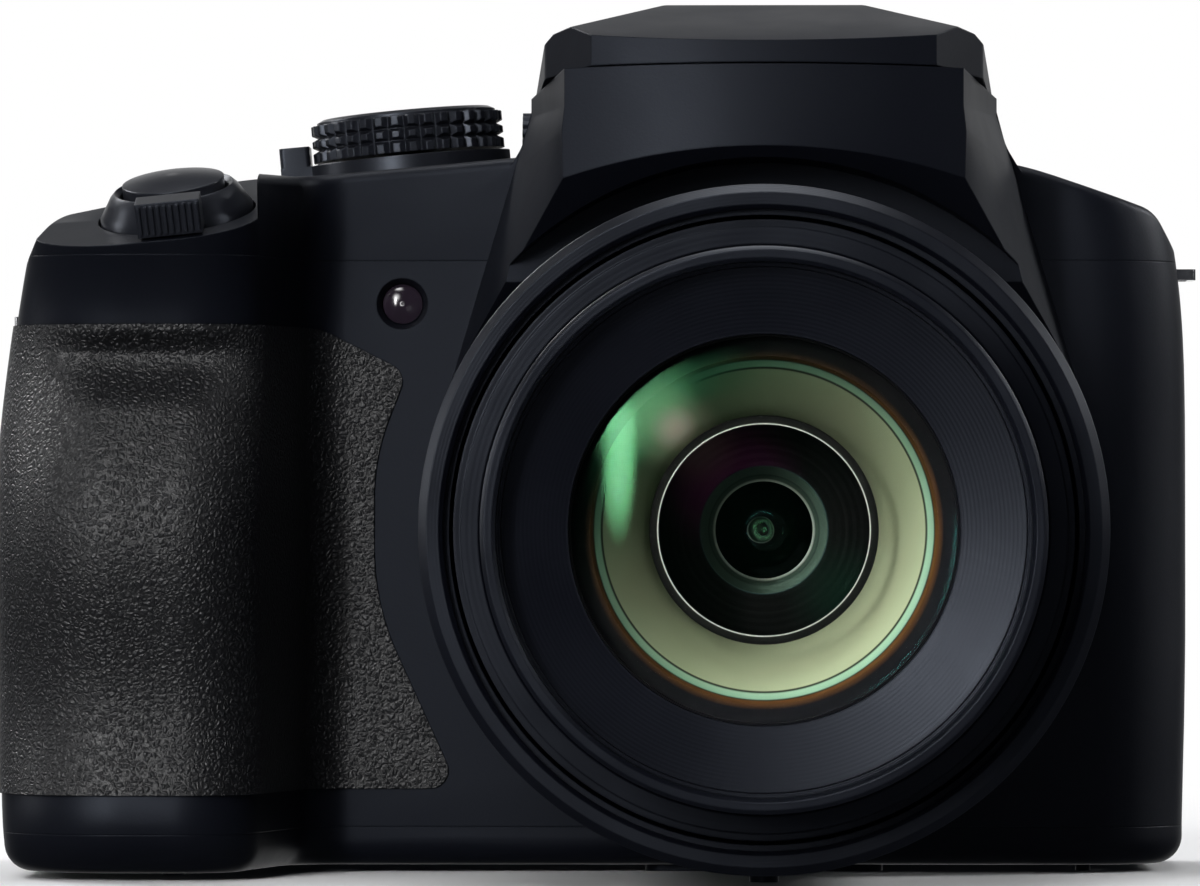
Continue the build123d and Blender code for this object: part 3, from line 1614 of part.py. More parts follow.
def main():
    os.makedirs("parts", exist_ok=True)
    form = body_form()
    pieces = {
        "front_cover": front_cover(form),
        "rear_cover": rear_cover(form),
        "top_cover": top_cover(form),
        "bottom_cover": bottom_cover(form) - screw_rooms(),
        "grip_skin": grip_skin(form),
        "thumb_rest": thumb_rest(),
        "lens_housing": lens_housing(),
        "lens_trim_ring": lens_trim_ring(),
        "middle_barrel": middle_barrel(),
        "front_barrel": front_barrel(),
        "name_ring": name_ring(),
        "front_lens": front_lens(),
        "front_lens_cell": front_lens_cell(),
        "guide_rods": Compound(children=guide_rods(0).solids()),
        "zoom_lens_cell": zoom_lens_cell(),
        "zoom_lens": zoom_lens(),
        "iris_unit": iris_unit(),
        "rear_lens": rear_lens(),
        "image_sensor": image_sensor(),
        "sensor_bracket": sensor_bracket(),
        "chassis": chassis(),
        "main_board": main_board(),
        "battery": battery(),
        "memory_card": memory_card(),
        "battery_tray": battery_tray(),
        "battery_door": battery_door(),
        "battery_door_pin": door_pin(),
        "battery_door_latch": door_latch(),
        "zoom_lever": zoom_lever(),
        "shutter_button": shutter_button(),
        "mode_dial": mode_dial(),
        "power_lever": power_lever(),
        "rear_dial": rear_dial(),
        "set_button": set_button(),
        "monitor_glass": monitor_glass(),
        "monitor_panel": monitor_panel(),
        "flash_housing": flash_housing(),
        "flash_reflector": flash_reflector(),
        "flash_tube": flash_tube(),
        "flash_window": flash_window(),
        "flash_hinge_pin": flash_hinge_pin(),
        "flash_switch": flash_switch(),
        "eyecup": eyecup(),
        "eyepiece_lens": eyepiece_lens(),
        "viewfinder_display": viewfinder_display(),
        "diopter_dial": diopter_dial(),
        "terminal_door": terminal_door(),
        "terminal_sockets": Compound(children=terminal_sockets().solids()),
        "strap_lugs": strap_lugs(),
        "assist_lamp": assist_lamp(),
        "tripod_socket": tripod_socket(),
        "base_pips": base_pips(),
        "base_screws": base_screws(),
    }
    for name in top_buttons:
        pieces[name] = top_button(name)
    for name in rear_buttons:
        pieces[name] = rear_button(name)
    for name, shape in pieces.items():
        export_step(shape, f"parts/{name}.step")


main()
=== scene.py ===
import json
from math import pi, radians
import bmesh
import bpy
from mathutils import Matrix, Vector


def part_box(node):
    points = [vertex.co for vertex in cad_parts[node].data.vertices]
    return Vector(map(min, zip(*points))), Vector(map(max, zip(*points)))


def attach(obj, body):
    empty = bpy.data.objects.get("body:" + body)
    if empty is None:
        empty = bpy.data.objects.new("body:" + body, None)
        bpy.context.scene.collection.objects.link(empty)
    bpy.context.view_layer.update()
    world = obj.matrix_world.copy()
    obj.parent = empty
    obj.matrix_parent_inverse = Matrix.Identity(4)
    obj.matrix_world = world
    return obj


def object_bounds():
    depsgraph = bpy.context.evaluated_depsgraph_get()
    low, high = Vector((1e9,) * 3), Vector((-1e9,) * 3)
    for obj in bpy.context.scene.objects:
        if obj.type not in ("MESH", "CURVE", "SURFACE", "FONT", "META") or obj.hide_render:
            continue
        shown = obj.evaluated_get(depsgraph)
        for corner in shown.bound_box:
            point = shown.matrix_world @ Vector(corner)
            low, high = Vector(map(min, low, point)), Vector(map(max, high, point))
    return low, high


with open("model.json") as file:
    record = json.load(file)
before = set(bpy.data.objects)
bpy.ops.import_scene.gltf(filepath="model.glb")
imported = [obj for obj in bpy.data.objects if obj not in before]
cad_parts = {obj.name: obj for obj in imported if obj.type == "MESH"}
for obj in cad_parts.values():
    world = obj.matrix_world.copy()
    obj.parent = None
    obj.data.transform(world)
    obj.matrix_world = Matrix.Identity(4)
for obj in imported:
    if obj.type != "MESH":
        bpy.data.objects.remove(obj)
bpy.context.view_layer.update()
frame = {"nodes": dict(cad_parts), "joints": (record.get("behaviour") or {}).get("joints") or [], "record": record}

node = frame["nodes"]

# Body covers
# The moulded front, rear, top and base of the camera: glass-filled plastic with a fine spark texture,
# painted a bluish black and screwed together from below. The doors, the flash lid and the fixed barrel
# share the finish.
cover_black = (0.0026, 0.0031, 0.0056, 1)
cover_worn = (0.0048, 0.0055, 0.0092, 1)
moulded_edge = 0.00025
cool_sheen = (0.76, 0.84, 1.0, 1)
smooth_angle = radians(38)
join_distance = 1e-6


def new_group(name, inputs, outputs):
    """An empty shader group with its two end nodes."""
    group = bpy.data.node_groups.new(name, "ShaderNodeTree")
    for label, kind, value in inputs:
        socket = group.interface.new_socket(label, in_out="INPUT", socket_type=kind)
        if value is not None:
            socket.default_value = value
    for label, kind in outputs:
        group.interface.new_socket(label, in_out="OUTPUT", socket_type=kind)
    return group, group.nodes.new("NodeGroupInput"), group.nodes.new("NodeGroupOutput")


def add(tree, kind, settings=None, values=None, links=None):
    """Adds a node, sets its fields and sockets, and links other nodes' sockets into it."""
    made = tree.nodes.new(kind)
    for field, value in (settings or {}).items():
        setattr(made, field, value)
    for socket, value in (values or {}).items():
        made.inputs[socket].default_value = value
    for socket, source in (links or {}).items():
        tree.links.new(source, made.inputs[socket])
    return made


def ramp(tree, source, stops):
    """Turns a value into colours, through stops of (value, colour)."""
    made = add(tree, "ShaderNodeValToRGB", links={"Fac": source})
    while len(made.color_ramp.elements) < len(stops):
        made.color_ramp.elements.new(0.5)
    for element, (place, colour) in zip(made.color_ramp.elements, stops):
        element.position = place
        element.color = colour if len(colour) == 4 else (*colour, 1)
    return made.outputs["Color"]


def new_material(name):
    """A material with one main shader, and the place on the object that its textures follow."""
    made = bpy.data.materials.new(name)
    made.use_nodes = True
    made.node_tree.nodes.clear()
    tree = made.node_tree
    shader = tree.nodes.new("ShaderNodeBsdfPrincipled")
    out = tree.nodes.new("ShaderNodeOutputMaterial")
    tree.links.new(shader.outputs["BSDF"], out.inputs["Surface"])
    place = tree.nodes.new("ShaderNodeTexCoord").outputs["Object"]
    return made, tree, shader, place


# Spark texture: fine pits of two sizes, and slow patches where handling has polished the paint.
spark, spark_in, spark_out = new_group(
    "spark_texture",
    [("Place", "NodeSocketVector", None), ("Grains per metre", "NodeSocketFloat", 3600.0),
     ("Paint", "NodeSocketColor", cover_black), ("Rubbed", "NodeSocketColor", cover_worn),
     ("Roughness", "NodeSocketFloat", 0.5)],
    [("Height", "NodeSocketFloat"), ("Color", "NodeSocketColor"), ("Roughness", "NodeSocketFloat")])
pits = add(spark, "ShaderNodeTexNoise", {"noise_dimensions": "3D"}, {"Detail": 2.0, "Roughness": 0.6},
           {"Vector": spark_in.outputs["Place"], "Scale": spark_in.outputs["Grains per metre"]})
patches = add(spark, "ShaderNodeTexNoise", None, {"Scale": 55.0, "Detail": 3.0, "Roughness": 0.6},
              {"Vector": spark_in.outputs["Place"]})
speck = add(spark, "ShaderNodeMapRange", None, {"From Min": 0.35, "From Max": 0.75},
            {"Value": pits.outputs["Fac"]})
blend = add(spark, "ShaderNodeMath", {"operation": "MULTIPLY"},
            links={0: speck.outputs["Result"], 1: patches.outputs["Fac"]})
paint = add(spark, "ShaderNodeMix", {"data_type": "RGBA"},
            links={"Factor": blend.outputs["Value"], "A": spark_in.outputs["Paint"],
                   "B": spark_in.outputs["Rubbed"]})
gloss = add(spark, "ShaderNodeMapRange", None,
            {"From Min": 0.3, "From Max": 0.7, "To Min": 0.05, "To Max": -0.05},
            {"Value": patches.outputs["Fac"]})
rough = add(spark, "ShaderNodeMath", {"operation": "ADD"},
            links={0: spark_in.outputs["Roughness"], 1: gloss.outputs["Result"]})
spark.links.new(pits.outputs["Fac"], spark_out.inputs["Height"])
spark.links.new(paint.outputs["Result"], spark_out.inputs["Color"])
spark.links.new(rough.outputs["Value"], spark_out.inputs["Roughness"])


def spark_material(name, grains, paint, rubbed, roughness, specular, depth):
    """Painted or moulded black with the spark texture as its bump."""
    made, tree, shader, place = new_material(name)
    texture = add(tree, "ShaderNodeGroup", {"node_tree": spark},
                  {"Grains per metre": grains, "Paint": paint, "Rubbed": rubbed, "Roughness": roughness},
                  {"Place": place})
    edge = add(tree, "ShaderNodeBevel", {"samples": 4}, {"Radius": moulded_edge})
    bump = add(tree, "ShaderNodeBump", None, {"Strength": 1.0, "Distance": depth},
               {"Height": texture.outputs["Height"], "Normal": edge.outputs["Normal"]})
    tree.links.new(texture.outputs["Color"], shader.inputs["Base Color"])
    tree.links.new(texture.outputs["Roughness"], shader.inputs["Roughness"])
    tree.links.new(bump.outputs["Normal"], shader.inputs["Normal"])
    shader.inputs["Specular IOR Level"].default_value = specular
    shader.inputs["Specular Tint"].default_value = cool_sheen
    return made


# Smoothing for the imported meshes: joins their loose triangles and shades across gentle angles.
smoother = bpy.data.node_groups.new("smooth_gentle_edges", "GeometryNodeTree")
smoother.interface.new_socket("Geometry", in_out="INPUT", socket_type="NodeSocketGeometry")
smoother.interface.new_socket("Geometry", in_out="OUTPUT", socket_type="NodeSocketGeometry")
smoother_in = smoother.nodes.new("NodeGroupInput")
smoother_out = smoother.nodes.new("NodeGroupOutput")
all_smooth = add(smoother, "GeometryNodeSetShadeSmooth", {"domain": "FACE"}, {"Shade Smooth": True},
                 {"Geometry": smoother_in.outputs["Geometry"]})
edge_angle = smoother.nodes.new("GeometryNodeInputMeshEdgeAngle")
sharp = add(smoother, "FunctionNodeCompare", {"data_type": "FLOAT", "operation": "GREATER_THAN"},
            {"B": smooth_angle}, {"A": edge_angle.outputs["Unsigned Angle"]})
creased = add(smoother, "GeometryNodeSetShadeSmooth", {"domain": "EDGE"}, {"Shade Smooth": False},
              {"Geometry": all_smooth.outputs["Geometry"], "Selection": sharp.outputs["Result"]})
smoother.links.new(creased.outputs["Geometry"], smoother_out.inputs["Geometry"])


def smooth_by_angle(piece):
    piece.modifiers.new("smooth", "NODES").node_group = smoother


def dress(names, material):
    """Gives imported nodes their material, with joined triangles and smooth shading."""
    for name in names.split():
        piece = node[name]
        piece.data.materials.clear()
        piece.data.materials.append(material)
        weld = piece.modifiers.new("join", "WELD")
        weld.merge_threshold = join_distance
        smooth_by_angle(piece)


cover_paint = spark_material("cover_paint", grains=3600.0, paint=cover_black, rubbed=cover_worn,
                             roughness=0.48, specular=0.22, depth=0.000012)
dress("front_cover rear_cover top_cover bottom_cover flash_housing battery_door battery_door_latch "
      "terminal_door flash_switch base_pips lens_housing", cover_paint)

# Grip skin and thumb rest
# Thin leather-grained rubber glued over the grip, over the flat beside the barrel and under the thumb.
# Its cells are under 1 mm wide, with soft crowns and narrow creases; painted shade darkens the creases and
# painted light brightens the crowns. A shallow hollow for the finger lies across the top of the grip.
skin_black = (0.0075, 0.0079, 0.0094, 1)
skin_crease_shade = (0.0030, 0.0032, 0.0042, 1)
skin_crown_light = (0.0130, 0.0135, 0.0155, 1)
hollow_low, hollow_middle, hollow_high = 0.0500, 0.0560, 0.0590
hollow_left, hollow_right, hollow_depth = -0.0790, -0.0535, 0.0022
hollow_left_fade, hollow_right_fade = 0.010, 0.008

skin, tree, shader, place = new_material("grip_rubber")
wander = add(tree, "ShaderNodeTexNoise", None, {"Scale": 1100.0, "Detail": 3.0}, {"Vector": place})
shift = add(tree, "ShaderNodeVectorMath", {"operation": "SCALE"}, {"Scale": 0.0010},
            {0: wander.outputs["Color"]})
moved = add(tree, "ShaderNodeVectorMath", {"operation": "ADD"},
            links={0: place, 1: shift.outputs["Vector"]})
cells = add(tree, "ShaderNodeTexVoronoi", {"feature": "DISTANCE_TO_EDGE"}, {"Scale": 1700.0},
            {"Vector": moved.outputs["Vector"]})
crown = add(tree, "ShaderNodeMapRange", {"interpolation_type": "SMOOTHSTEP"},
            {"From Min": 0.0, "From Max": 0.45}, {"Value": cells.outputs["Distance"]})
fine = add(tree, "ShaderNodeTexNoise", None, {"Scale": 3800.0, "Detail": 2.0}, {"Vector": place})
height = add(tree, "ShaderNodeMath", {"operation": "MULTIPLY_ADD"}, {1: 0.3},
             {0: fine.outputs["Fac"], 2: crown.outputs["Result"]})
parts = add(tree, "ShaderNodeSeparateXYZ", links={"Vector": place})
low = add(tree, "ShaderNodeMapRange", {"interpolation_type": "SMOOTHSTEP"},
          {"From Min": hollow_low, "From Max": hollow_middle}, {"Value": parts.outputs["Z"]})
high = add(tree, "ShaderNodeMapRange", {"interpolation_type": "SMOOTHSTEP"},
           {"From Min": hollow_middle, "From Max": hollow_high, "To Min": 1.0, "To Max": 0.0},
           {"Value": parts.outputs["Z"]})
inner = add(tree, "ShaderNodeMapRange", {"interpolation_type": "SMOOTHSTEP"},
            {"From Min": hollow_right, "From Max": hollow_right - hollow_right_fade},
            {"Value": parts.outputs["X"]})
outer = add(tree, "ShaderNodeMapRange", {"interpolation_type": "SMOOTHSTEP"},
            {"From Min": hollow_left, "From Max": hollow_left + hollow_left_fade},
            {"Value": parts.outputs["X"]})
across = add(tree, "ShaderNodeMath", {"operation": "MULTIPLY"},
             links={0: inner.outputs["Result"], 1: outer.outputs["Result"]})
upright = add(tree, "ShaderNodeMath", {"operation": "MULTIPLY"},
              links={0: low.outputs["Result"], 1: high.outputs["Result"]})
hollow = add(tree, "ShaderNodeMath", {"operation": "MULTIPLY"},
             links={0: across.outputs["Value"], 1: upright.outputs["Value"]})
dent = add(tree, "ShaderNodeBump", {"invert": True}, {"Strength": 1.0, "Distance": hollow_depth},
           {"Height": hollow.outputs["Value"]})
bump = add(tree, "ShaderNodeBump", None, {"Strength": 0.9, "Distance": 0.00012},
           {"Height": height.outputs["Value"], "Normal": dent.outputs["Normal"]})
# Painted shade in the creases and painted light on the crowns of the grain.
tree.links.new(ramp(tree, crown.outputs["Result"],
                    [(0.0, skin_crease_shade), (0.5, skin_black), (1.0, skin_crown_light)]),
               shader.inputs["Base Color"])
tree.links.new(bump.outputs["Normal"], shader.inputs["Normal"])
shader.inputs["Roughness"].default_value = 0.44
shader.inputs["Specular IOR Level"].default_value = 0.55
dress("grip_skin thumb_rest", skin)

# Barrels and their rings
# Turned aluminium, anodised or painted black. The trim ring and the two sliding tubes carry fine lathe
# lines; the ring behind the filter thread is cut into narrow steps. All are coaxial with the lens.
ring_black = (0.0026, 0.0030, 0.0052, 1)
ring_stain = [1.35 * part for part in ring_black[:3]]
thread = next(mount for mount in frame["record"]["mounts"] if mount["name"] == "filter_thread")
lens_axis = Vector((0, 0, thread["pos_m"][2]))
lathe, lathe_in, lathe_out = new_group(
    "lathe_lines", [("Place", "NodeSocketVector", None), ("Pitch", "NodeSocketFloat", 0.0003)],
    [("Height", "NodeSocketFloat"), ("Radius", "NodeSocketFloat"), ("From axis", "NodeSocketVector")])
from_axis = add(lathe, "ShaderNodeVectorMath", {"operation": "SUBTRACT"}, {1: lens_axis},
                {0: lathe_in.outputs["Place"]})
flat = add(lathe, "ShaderNodeVectorMath", {"operation": "MULTIPLY"}, {1: (1, 0, 1)},
           {0: from_axis.outputs["Vector"]})
radius = add(lathe, "ShaderNodeVectorMath", {"operation": "LENGTH"}, links={0: flat.outputs["Vector"]})
along = add(lathe, "ShaderNodeSeparateXYZ", links={"Vector": from_axis.outputs["Vector"]})
travel = add(lathe, "ShaderNodeMath", {"operation": "ADD"},
             links={0: radius.outputs["Value"], 1: along.outputs["Y"]})
turns = add(lathe, "ShaderNodeMath", {"operation": "DIVIDE"},
            links={0: travel.outputs["Value"], 1: lathe_in.outputs["Pitch"]})
wave = add(lathe, "ShaderNodeMath", {"operation": "PINGPONG"}, {1: 0.5}, {0: turns.outputs["Value"]})
lathe.links.new(wave.outputs["Value"], lathe_out.inputs["Height"])
lathe.links.new(radius.outputs["Value"], lathe_out.inputs["Radius"])
lathe.links.new(flat.outputs["Vector"], lathe_out.inputs["From axis"])


def turned_material(name, pitch, depth, roughness, specular):
    """Black turned metal with lathe lines of one pitch and slight stains."""
    made, tree, shader, place = new_material(name)
    lines = add(tree, "ShaderNodeGroup", {"node_tree": lathe}, {"Pitch": pitch}, {"Place": place})
    stain = add(tree, "ShaderNodeTexNoise", None, {"Scale": 90.0, "Detail": 4.0}, {"Vector": place})
    edge = add(tree, "ShaderNodeBevel", {"samples": 4}, {"Radius": moulded_edge})
    bump = add(tree, "ShaderNodeBump", None, {"Strength": 1.0, "Distance": depth},
               {"Height": lines.outputs["Height"], "Normal": edge.outputs["Normal"]})
    tone = ramp(tree, stain.outputs["Fac"], [(0.3, ring_black), (0.8, ring_stain)])
    rough = add(tree, "ShaderNodeMapRange", None,
                {"From Min": 0.3, "From Max": 0.7, "To Min": roughness, "To Max": roughness + 0.08},
                {"Value": stain.outputs["Fac"]})
    tree.links.new(tone, shader.inputs["Base Color"])
    tree.links.new(rough.outputs["Result"], shader.inputs["Roughness"])
    tree.links.new(bump.outputs["Normal"], shader.inputs["Normal"])
    shader.inputs["Specular IOR Level"].default_value = specular
    shader.inputs["Specular Tint"].default_value = cool_sheen
    return made


dress("lens_trim_ring",
      turned_material("trim_ring_anodised", pitch=0.00035, depth=0.000008, roughness=0.30, specular=0.36))
dress("middle_barrel front_barrel",
      turned_material("tube_anodised", pitch=0.0006, depth=0.000010, roughness=0.28, specular=0.36))
dress("name_ring",
      turned_material("name_ring_grooved", pitch=0.00036, depth=0.00002, roughness=0.34, specular=0.22))

# Front glass and what shows through it
# A crowned, multi-coated element held in a black cell. The olive band round it is painted on the black
# cell, a painted reflection of the coated flank of the glass in front of the baffle; deeper in, a threaded
# sleeve holds the small zoom element before the iris.
glass_tint = (0.95, 0.98, 0.95, 1)
zoom_tint = (0.92, 0.95, 0.93, 1)
rear_tint = (0.9, 0.98, 0.95, 1)
glass_index, coat_index = 1.52, 1.38
green_coat, magenta_coat = 190.0, 105.0
upper_left = (-0.64, 0, 0.77)
faint_green = (0.10, 0.26, 0.14, 1)


def coated_glass(name, tint, coat):
    """Clear glass with a thin coat. Its shadow is clear, as a lens lets the light through."""
    made, tree, shader, place = new_material(name)
    haze = add(tree, "ShaderNodeTexNoise", None, {"Scale": 160.0, "Detail": 3.0}, {"Vector": place})
    rough = add(tree, "ShaderNodeMapRange", None,
                {"From Min": 0.3, "From Max": 0.7, "To Min": 0.0, "To Max": 0.02},
                {"Value": haze.outputs["Fac"]})
    tree.links.new(rough.outputs["Result"], shader.inputs["Roughness"])
    shader.inputs["Base Color"].default_value = tint
    shader.inputs["Transmission Weight"].default_value = 1.0
    shader.inputs["IOR"].default_value = glass_index
    shader.inputs["Thin Film Thickness"].default_value = coat
    shader.inputs["Thin Film IOR"].default_value = coat_index
    shader.inputs["Specular Tint"].default_value = faint_green
    ray = tree.nodes.new("ShaderNodeLightPath")
    clear = tree.nodes.new("ShaderNodeBsdfTransparent")
    either = add(tree, "ShaderNodeMixShader", None, None,
                 {0: ray.outputs["Is Shadow Ray"], 1: shader.outputs["BSDF"], 2: clear.outputs["BSDF"]})
    tree.links.new(either.outputs["Shader"], tree.nodes["Material Output"].inputs["Surface"])
    return made


dress("front_lens", coated_glass("front_glass", glass_tint, green_coat))
dress("zoom_lens", coated_glass("zoom_glass", zoom_tint, green_coat))
dress("rear_lens", coated_glass("rear_glass", rear_tint, magenta_coat))


def band(tree, lines, reach, stops):
    """Colours that follow the distance from the lens axis, as shares of a radius."""
    share = add(tree, "ShaderNodeMath", {"operation": "DIVIDE"}, {1: reach}, {0: lines.outputs["Radius"]})
    return ramp(tree, share.outputs["Value"], stops)


def toward(tree, lines, reach, stops):
    """Painted shading that changes from the lower right of the lens to its upper left."""
    side = add(tree, "ShaderNodeVectorMath", {"operation": "DOT_PRODUCT"}, {1: upper_left},
               {0: lines.outputs["From axis"]})
    share = add(tree, "ShaderNodeMapRange", None, {"From Min": -reach, "From Max": reach},
                {"Value": side.outputs["Value"]})
    return ramp(tree, share.outputs["Result"], stops)


def painted_reflection_patch(tree, lines, under, centre, reach, colour, within=None):
    """A soft round patch of painted reflection laid over another colour."""
    away = add(tree, "ShaderNodeVectorMath", {"operation": "DISTANCE"}, {1: centre},
               {0: lines.outputs["From axis"]})
    mask = add(tree, "ShaderNodeMapRange", {"interpolation_type": "SMOOTHSTEP"},
               {"From Min": reach, "From Max": 0.0}, {"Value": away.outputs["Value"]}).outputs["Result"]
    if within is not None:
        both = add(tree, "ShaderNodeMath", {"operation": "MULTIPLY"}, links={0: mask, 1: within})
        mask = both.outputs["Value"]
    return add(tree, "ShaderNodeMix", {"data_type": "RGBA"}, {"B": (*colour, 1)},
               {"Factor": mask, "A": under}).outputs["Result"]


def multiply(tree, first, second):
    """One colour multiplied over another; here the painted shading laid over the band's rings."""
    return add(tree, "ShaderNodeMix", {"data_type": "RGBA", "blend_type": "MULTIPLY"}, {"Factor": 1.0},
               {"A": first, "B": second}).outputs["Result"]


# The band: its rings from the middle outwards as shares of the glass's radius, where the olive, mint and
# brown rings are painted reflections of the coating and the dark rings are the cell's black; a painted
# shading from its lower right to its upper left; and the painted reflections on its upper left, each with
# its place from the axis, its reach and its colour.
glass_reach = 0.0199
painted_shading_reach = 0.0170
# Olive, mint and brown stops are painted reflections of the coating; the near-black stops are the cell.
band_rings_and_reflections = [
    (0.000, (0.002, 0.002, 0.002)), (0.556, (0.003, 0.003, 0.003)), (0.570, (0.100, 0.110, 0.076)),
    (0.700, (0.132, 0.146, 0.100)), (0.812, (0.155, 0.174, 0.120)), (0.817, (0.006, 0.008, 0.006)),
    (0.823, (0.006, 0.008, 0.006)), (0.829, (0.125, 0.200, 0.150)), (0.858, (0.100, 0.170, 0.130)),
    (0.864, (0.004, 0.006, 0.005)), (0.872, (0.042, 0.018, 0.006)), (0.895, (0.020, 0.009, 0.004)),
    (0.915, (0.002, 0.002, 0.003)),
]
# Painted shading of the band: lighter at its lower right, darker and greener at its upper left.
painted_shading_stops = [
    (0.05, (2.6, 2.6, 2.4)), (0.35, (1.45, 1.5, 1.35)), (0.62, (0.85, 0.88, 0.80)),
    (0.95, (0.30, 0.50, 0.38)),
]
flank_stops = [(0.68, (0, 0, 0)), (0.76, (1, 1, 1)), (0.93, (1, 1, 1)), (0.96, (0, 0, 0))]
# Painted reflections: a green glow on the coated flank at its upper left.
painted_flank_reflections = [
    ((-0.0112, 0, 0.0118), 0.0125, (0.020, 0.105, 0.050)),
    ((-0.0114, 0, 0.0116), 0.0055, (0.190, 0.360, 0.200)),
]
# Painted reflections: a pale patch and a pink spot of lamp light on the band's upper left.
painted_band_reflections = [
    ((-0.0085, 0, 0.0096), 0.0050, (0.260, 0.270, 0.190)),
    ((-0.0090, 0, 0.0102), 0.0028, (0.620, 0.430, 0.430)),
]
cell_black, tree, shader, place = new_material("lens_cell_band")
lines = add(tree, "ShaderNodeGroup", {"node_tree": lathe}, {"Pitch": 0.0002}, {"Place": place})
fleck = add(tree, "ShaderNodeTexNoise", None, {"Scale": 2600.0, "Detail": 2.0}, {"Vector": place})
bump = add(tree, "ShaderNodeBump", None, {"Strength": 0.5, "Distance": 0.00001},
           {"Height": fleck.outputs["Fac"]})
# The band's rings, with the painted reflections of the coating in them.
rings = band(tree, lines, glass_reach, band_rings_and_reflections)
# Painted shading, lighter at the lower right and darker at the upper left.
shade = toward(tree, lines, painted_shading_reach, painted_shading_stops)
colour = multiply(tree, rings, shade)
flank = band(tree, lines, glass_reach, flank_stops)
for centre, reach, tint in painted_flank_reflections:
    colour = painted_reflection_patch(tree, lines, colour, centre, reach, tint, flank)
for centre, reach, tint in painted_band_reflections:
    colour = painted_reflection_patch(tree, lines, colour, centre, reach, tint)
tree.links.new(colour, shader.inputs["Base Color"])
tree.links.new(bump.outputs["Normal"], shader.inputs["Normal"])
shader.inputs["Roughness"].default_value = 0.6
shader.inputs["Specular IOR Level"].default_value = 0.05
dress("front_lens_cell", cell_black)

# Lip of the baffle
# A thin turned ring of black metal round the throat of the cell, with a bright cut edge. It is pressed
# into the cell's step, ahead of the cell's back.
lip_outer, lip_inner, lip_thickness = 0.01145, 0.01060, 0.0004
lip_setback = 0.0092
lip_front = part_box("front_lens_cell")[1][1] - lip_setback
lip_back = lip_front + lip_thickness


def turned_piece(name, section, body, material, steps=128):
    """Spins a section of (radius, y) points about the lens axis."""
    bm = bmesh.new()
    points = [bm.verts.new((radius, y, 0)) for radius, y in section]
    edges = [bm.edges.new(pair) for pair in zip(points, points[1:] + points[:1])]
    bmesh.ops.spin(bm, geom=points + edges, cent=(0, 0, 0), axis=(0, 1, 0), angle=2 * pi, steps=steps,
                   use_merge=True, use_duplicate=False)
    bmesh.ops.remove_doubles(bm, verts=bm.verts, dist=1e-7)
    bmesh.ops.recalc_face_normals(bm, faces=bm.faces)
    bmesh.ops.translate(bm, verts=bm.verts, vec=lens_axis)
    mesh = bpy.data.meshes.new(name)
    bm.to_mesh(mesh)
    bm.free()
    piece = bpy.data.objects.new(name, mesh)
    bpy.context.scene.collection.objects.link(piece)
    mesh.materials.append(material)
    smooth_by_angle(piece)
    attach(piece, body)
    return piece


lip_metal, tree, shader, place = new_material("lip_cut_edge")
lines = add(tree, "ShaderNodeGroup", {"node_tree": lathe}, {"Pitch": 0.0001}, {"Place": place})
tree.links.new(band(tree, lines, lip_outer, [
    (0.928, (0.50, 0.52, 0.46)), (0.933, (0.50, 0.52, 0.46)), (0.938, (0.008, 0.009, 0.007)),
    (0.985, (0.004, 0.004, 0.004))]), shader.inputs["Base Color"])
shader.inputs["Specular IOR Level"].default_value = 0.05
shader.inputs["Roughness"].default_value = 0.6
lip_section = [(lip_inner, lip_front), (lip_outer, lip_front), (lip_outer, lip_back), (lip_inner, lip_back)]
lip = turned_piece("baffle_lip", lip_section, "front_tube", lip_metal)

# Inner group
# The sliding cell behind the baffle, flat black with turned steps, and the iris leaves behind its glass.
# Round the small glass, grey-green and cyan rings and violet, pink and dark green patches are painted on
# the black cell and iris as painted reflections of the coating, with a bright thin ring painted at the
# edge of the opening.
# Grey-green and cyan stops are painted reflections of the coating; the near-black stops are the cell.
cell_rings_and_reflections = [
    (0.181, (0.55, 0.60, 0.52)), (0.186, (0.55, 0.60, 0.52)), (0.190, (0.060, 0.095, 0.072)),
    (0.218, (0.050, 0.085, 0.065)), (0.222, (0.030, 0.050, 0.040)), (0.226, (0.070, 0.110, 0.085)),
    (0.290, (0.095, 0.150, 0.115)), (0.297, (0.050, 0.110, 0.105)), (0.305, (0.004, 0.004, 0.004)),
    (0.384, (0.003, 0.003, 0.003)), (0.388, (0.012, 0.012, 0.012)), (0.392, (0.003, 0.003, 0.003)),
]
outside_stops = [(0.296, (0, 0, 0)), (0.308, (1, 1, 1))]
# Painted reflections of the coating: a dark green patch at the lower right, violet and pink at upper left.
painted_cell_reflections = [
    ((0.0072, 0, -0.0058), 0.0060, (0.004, 0.016, 0.010)),
    ((-0.0036, 0, 0.0048), 0.0080, (0.110, 0.012, 0.078)),
    ((-0.0062, 0, 0.0080), 0.0048, (0.170, 0.090, 0.105)),
]
baffle, tree, shader, place = new_material("baffle_flat_black")
lines = add(tree, "ShaderNodeGroup", {"node_tree": lathe}, {"Pitch": 0.0008}, {"Place": place})
bump = add(tree, "ShaderNodeBump", None, {"Strength": 1.0, "Distance": 0.00004},
           {"Height": lines.outputs["Height"]})
colour = band(tree, lines, glass_reach, cell_rings_and_reflections)
outside = band(tree, lines, glass_reach, outside_stops)
for centre, reach, tint in painted_cell_reflections:
    colour = painted_reflection_patch(tree, lines, colour, centre, reach, tint, outside)
tree.links.new(colour, shader.inputs["Base Color"])
tree.links.new(bump.outputs["Normal"], shader.inputs["Normal"])
shader.inputs["Roughness"].default_value = 0.6
shader.inputs["Specular IOR Level"].default_value = 0.05
dress("zoom_lens_cell iris_unit", baffle)

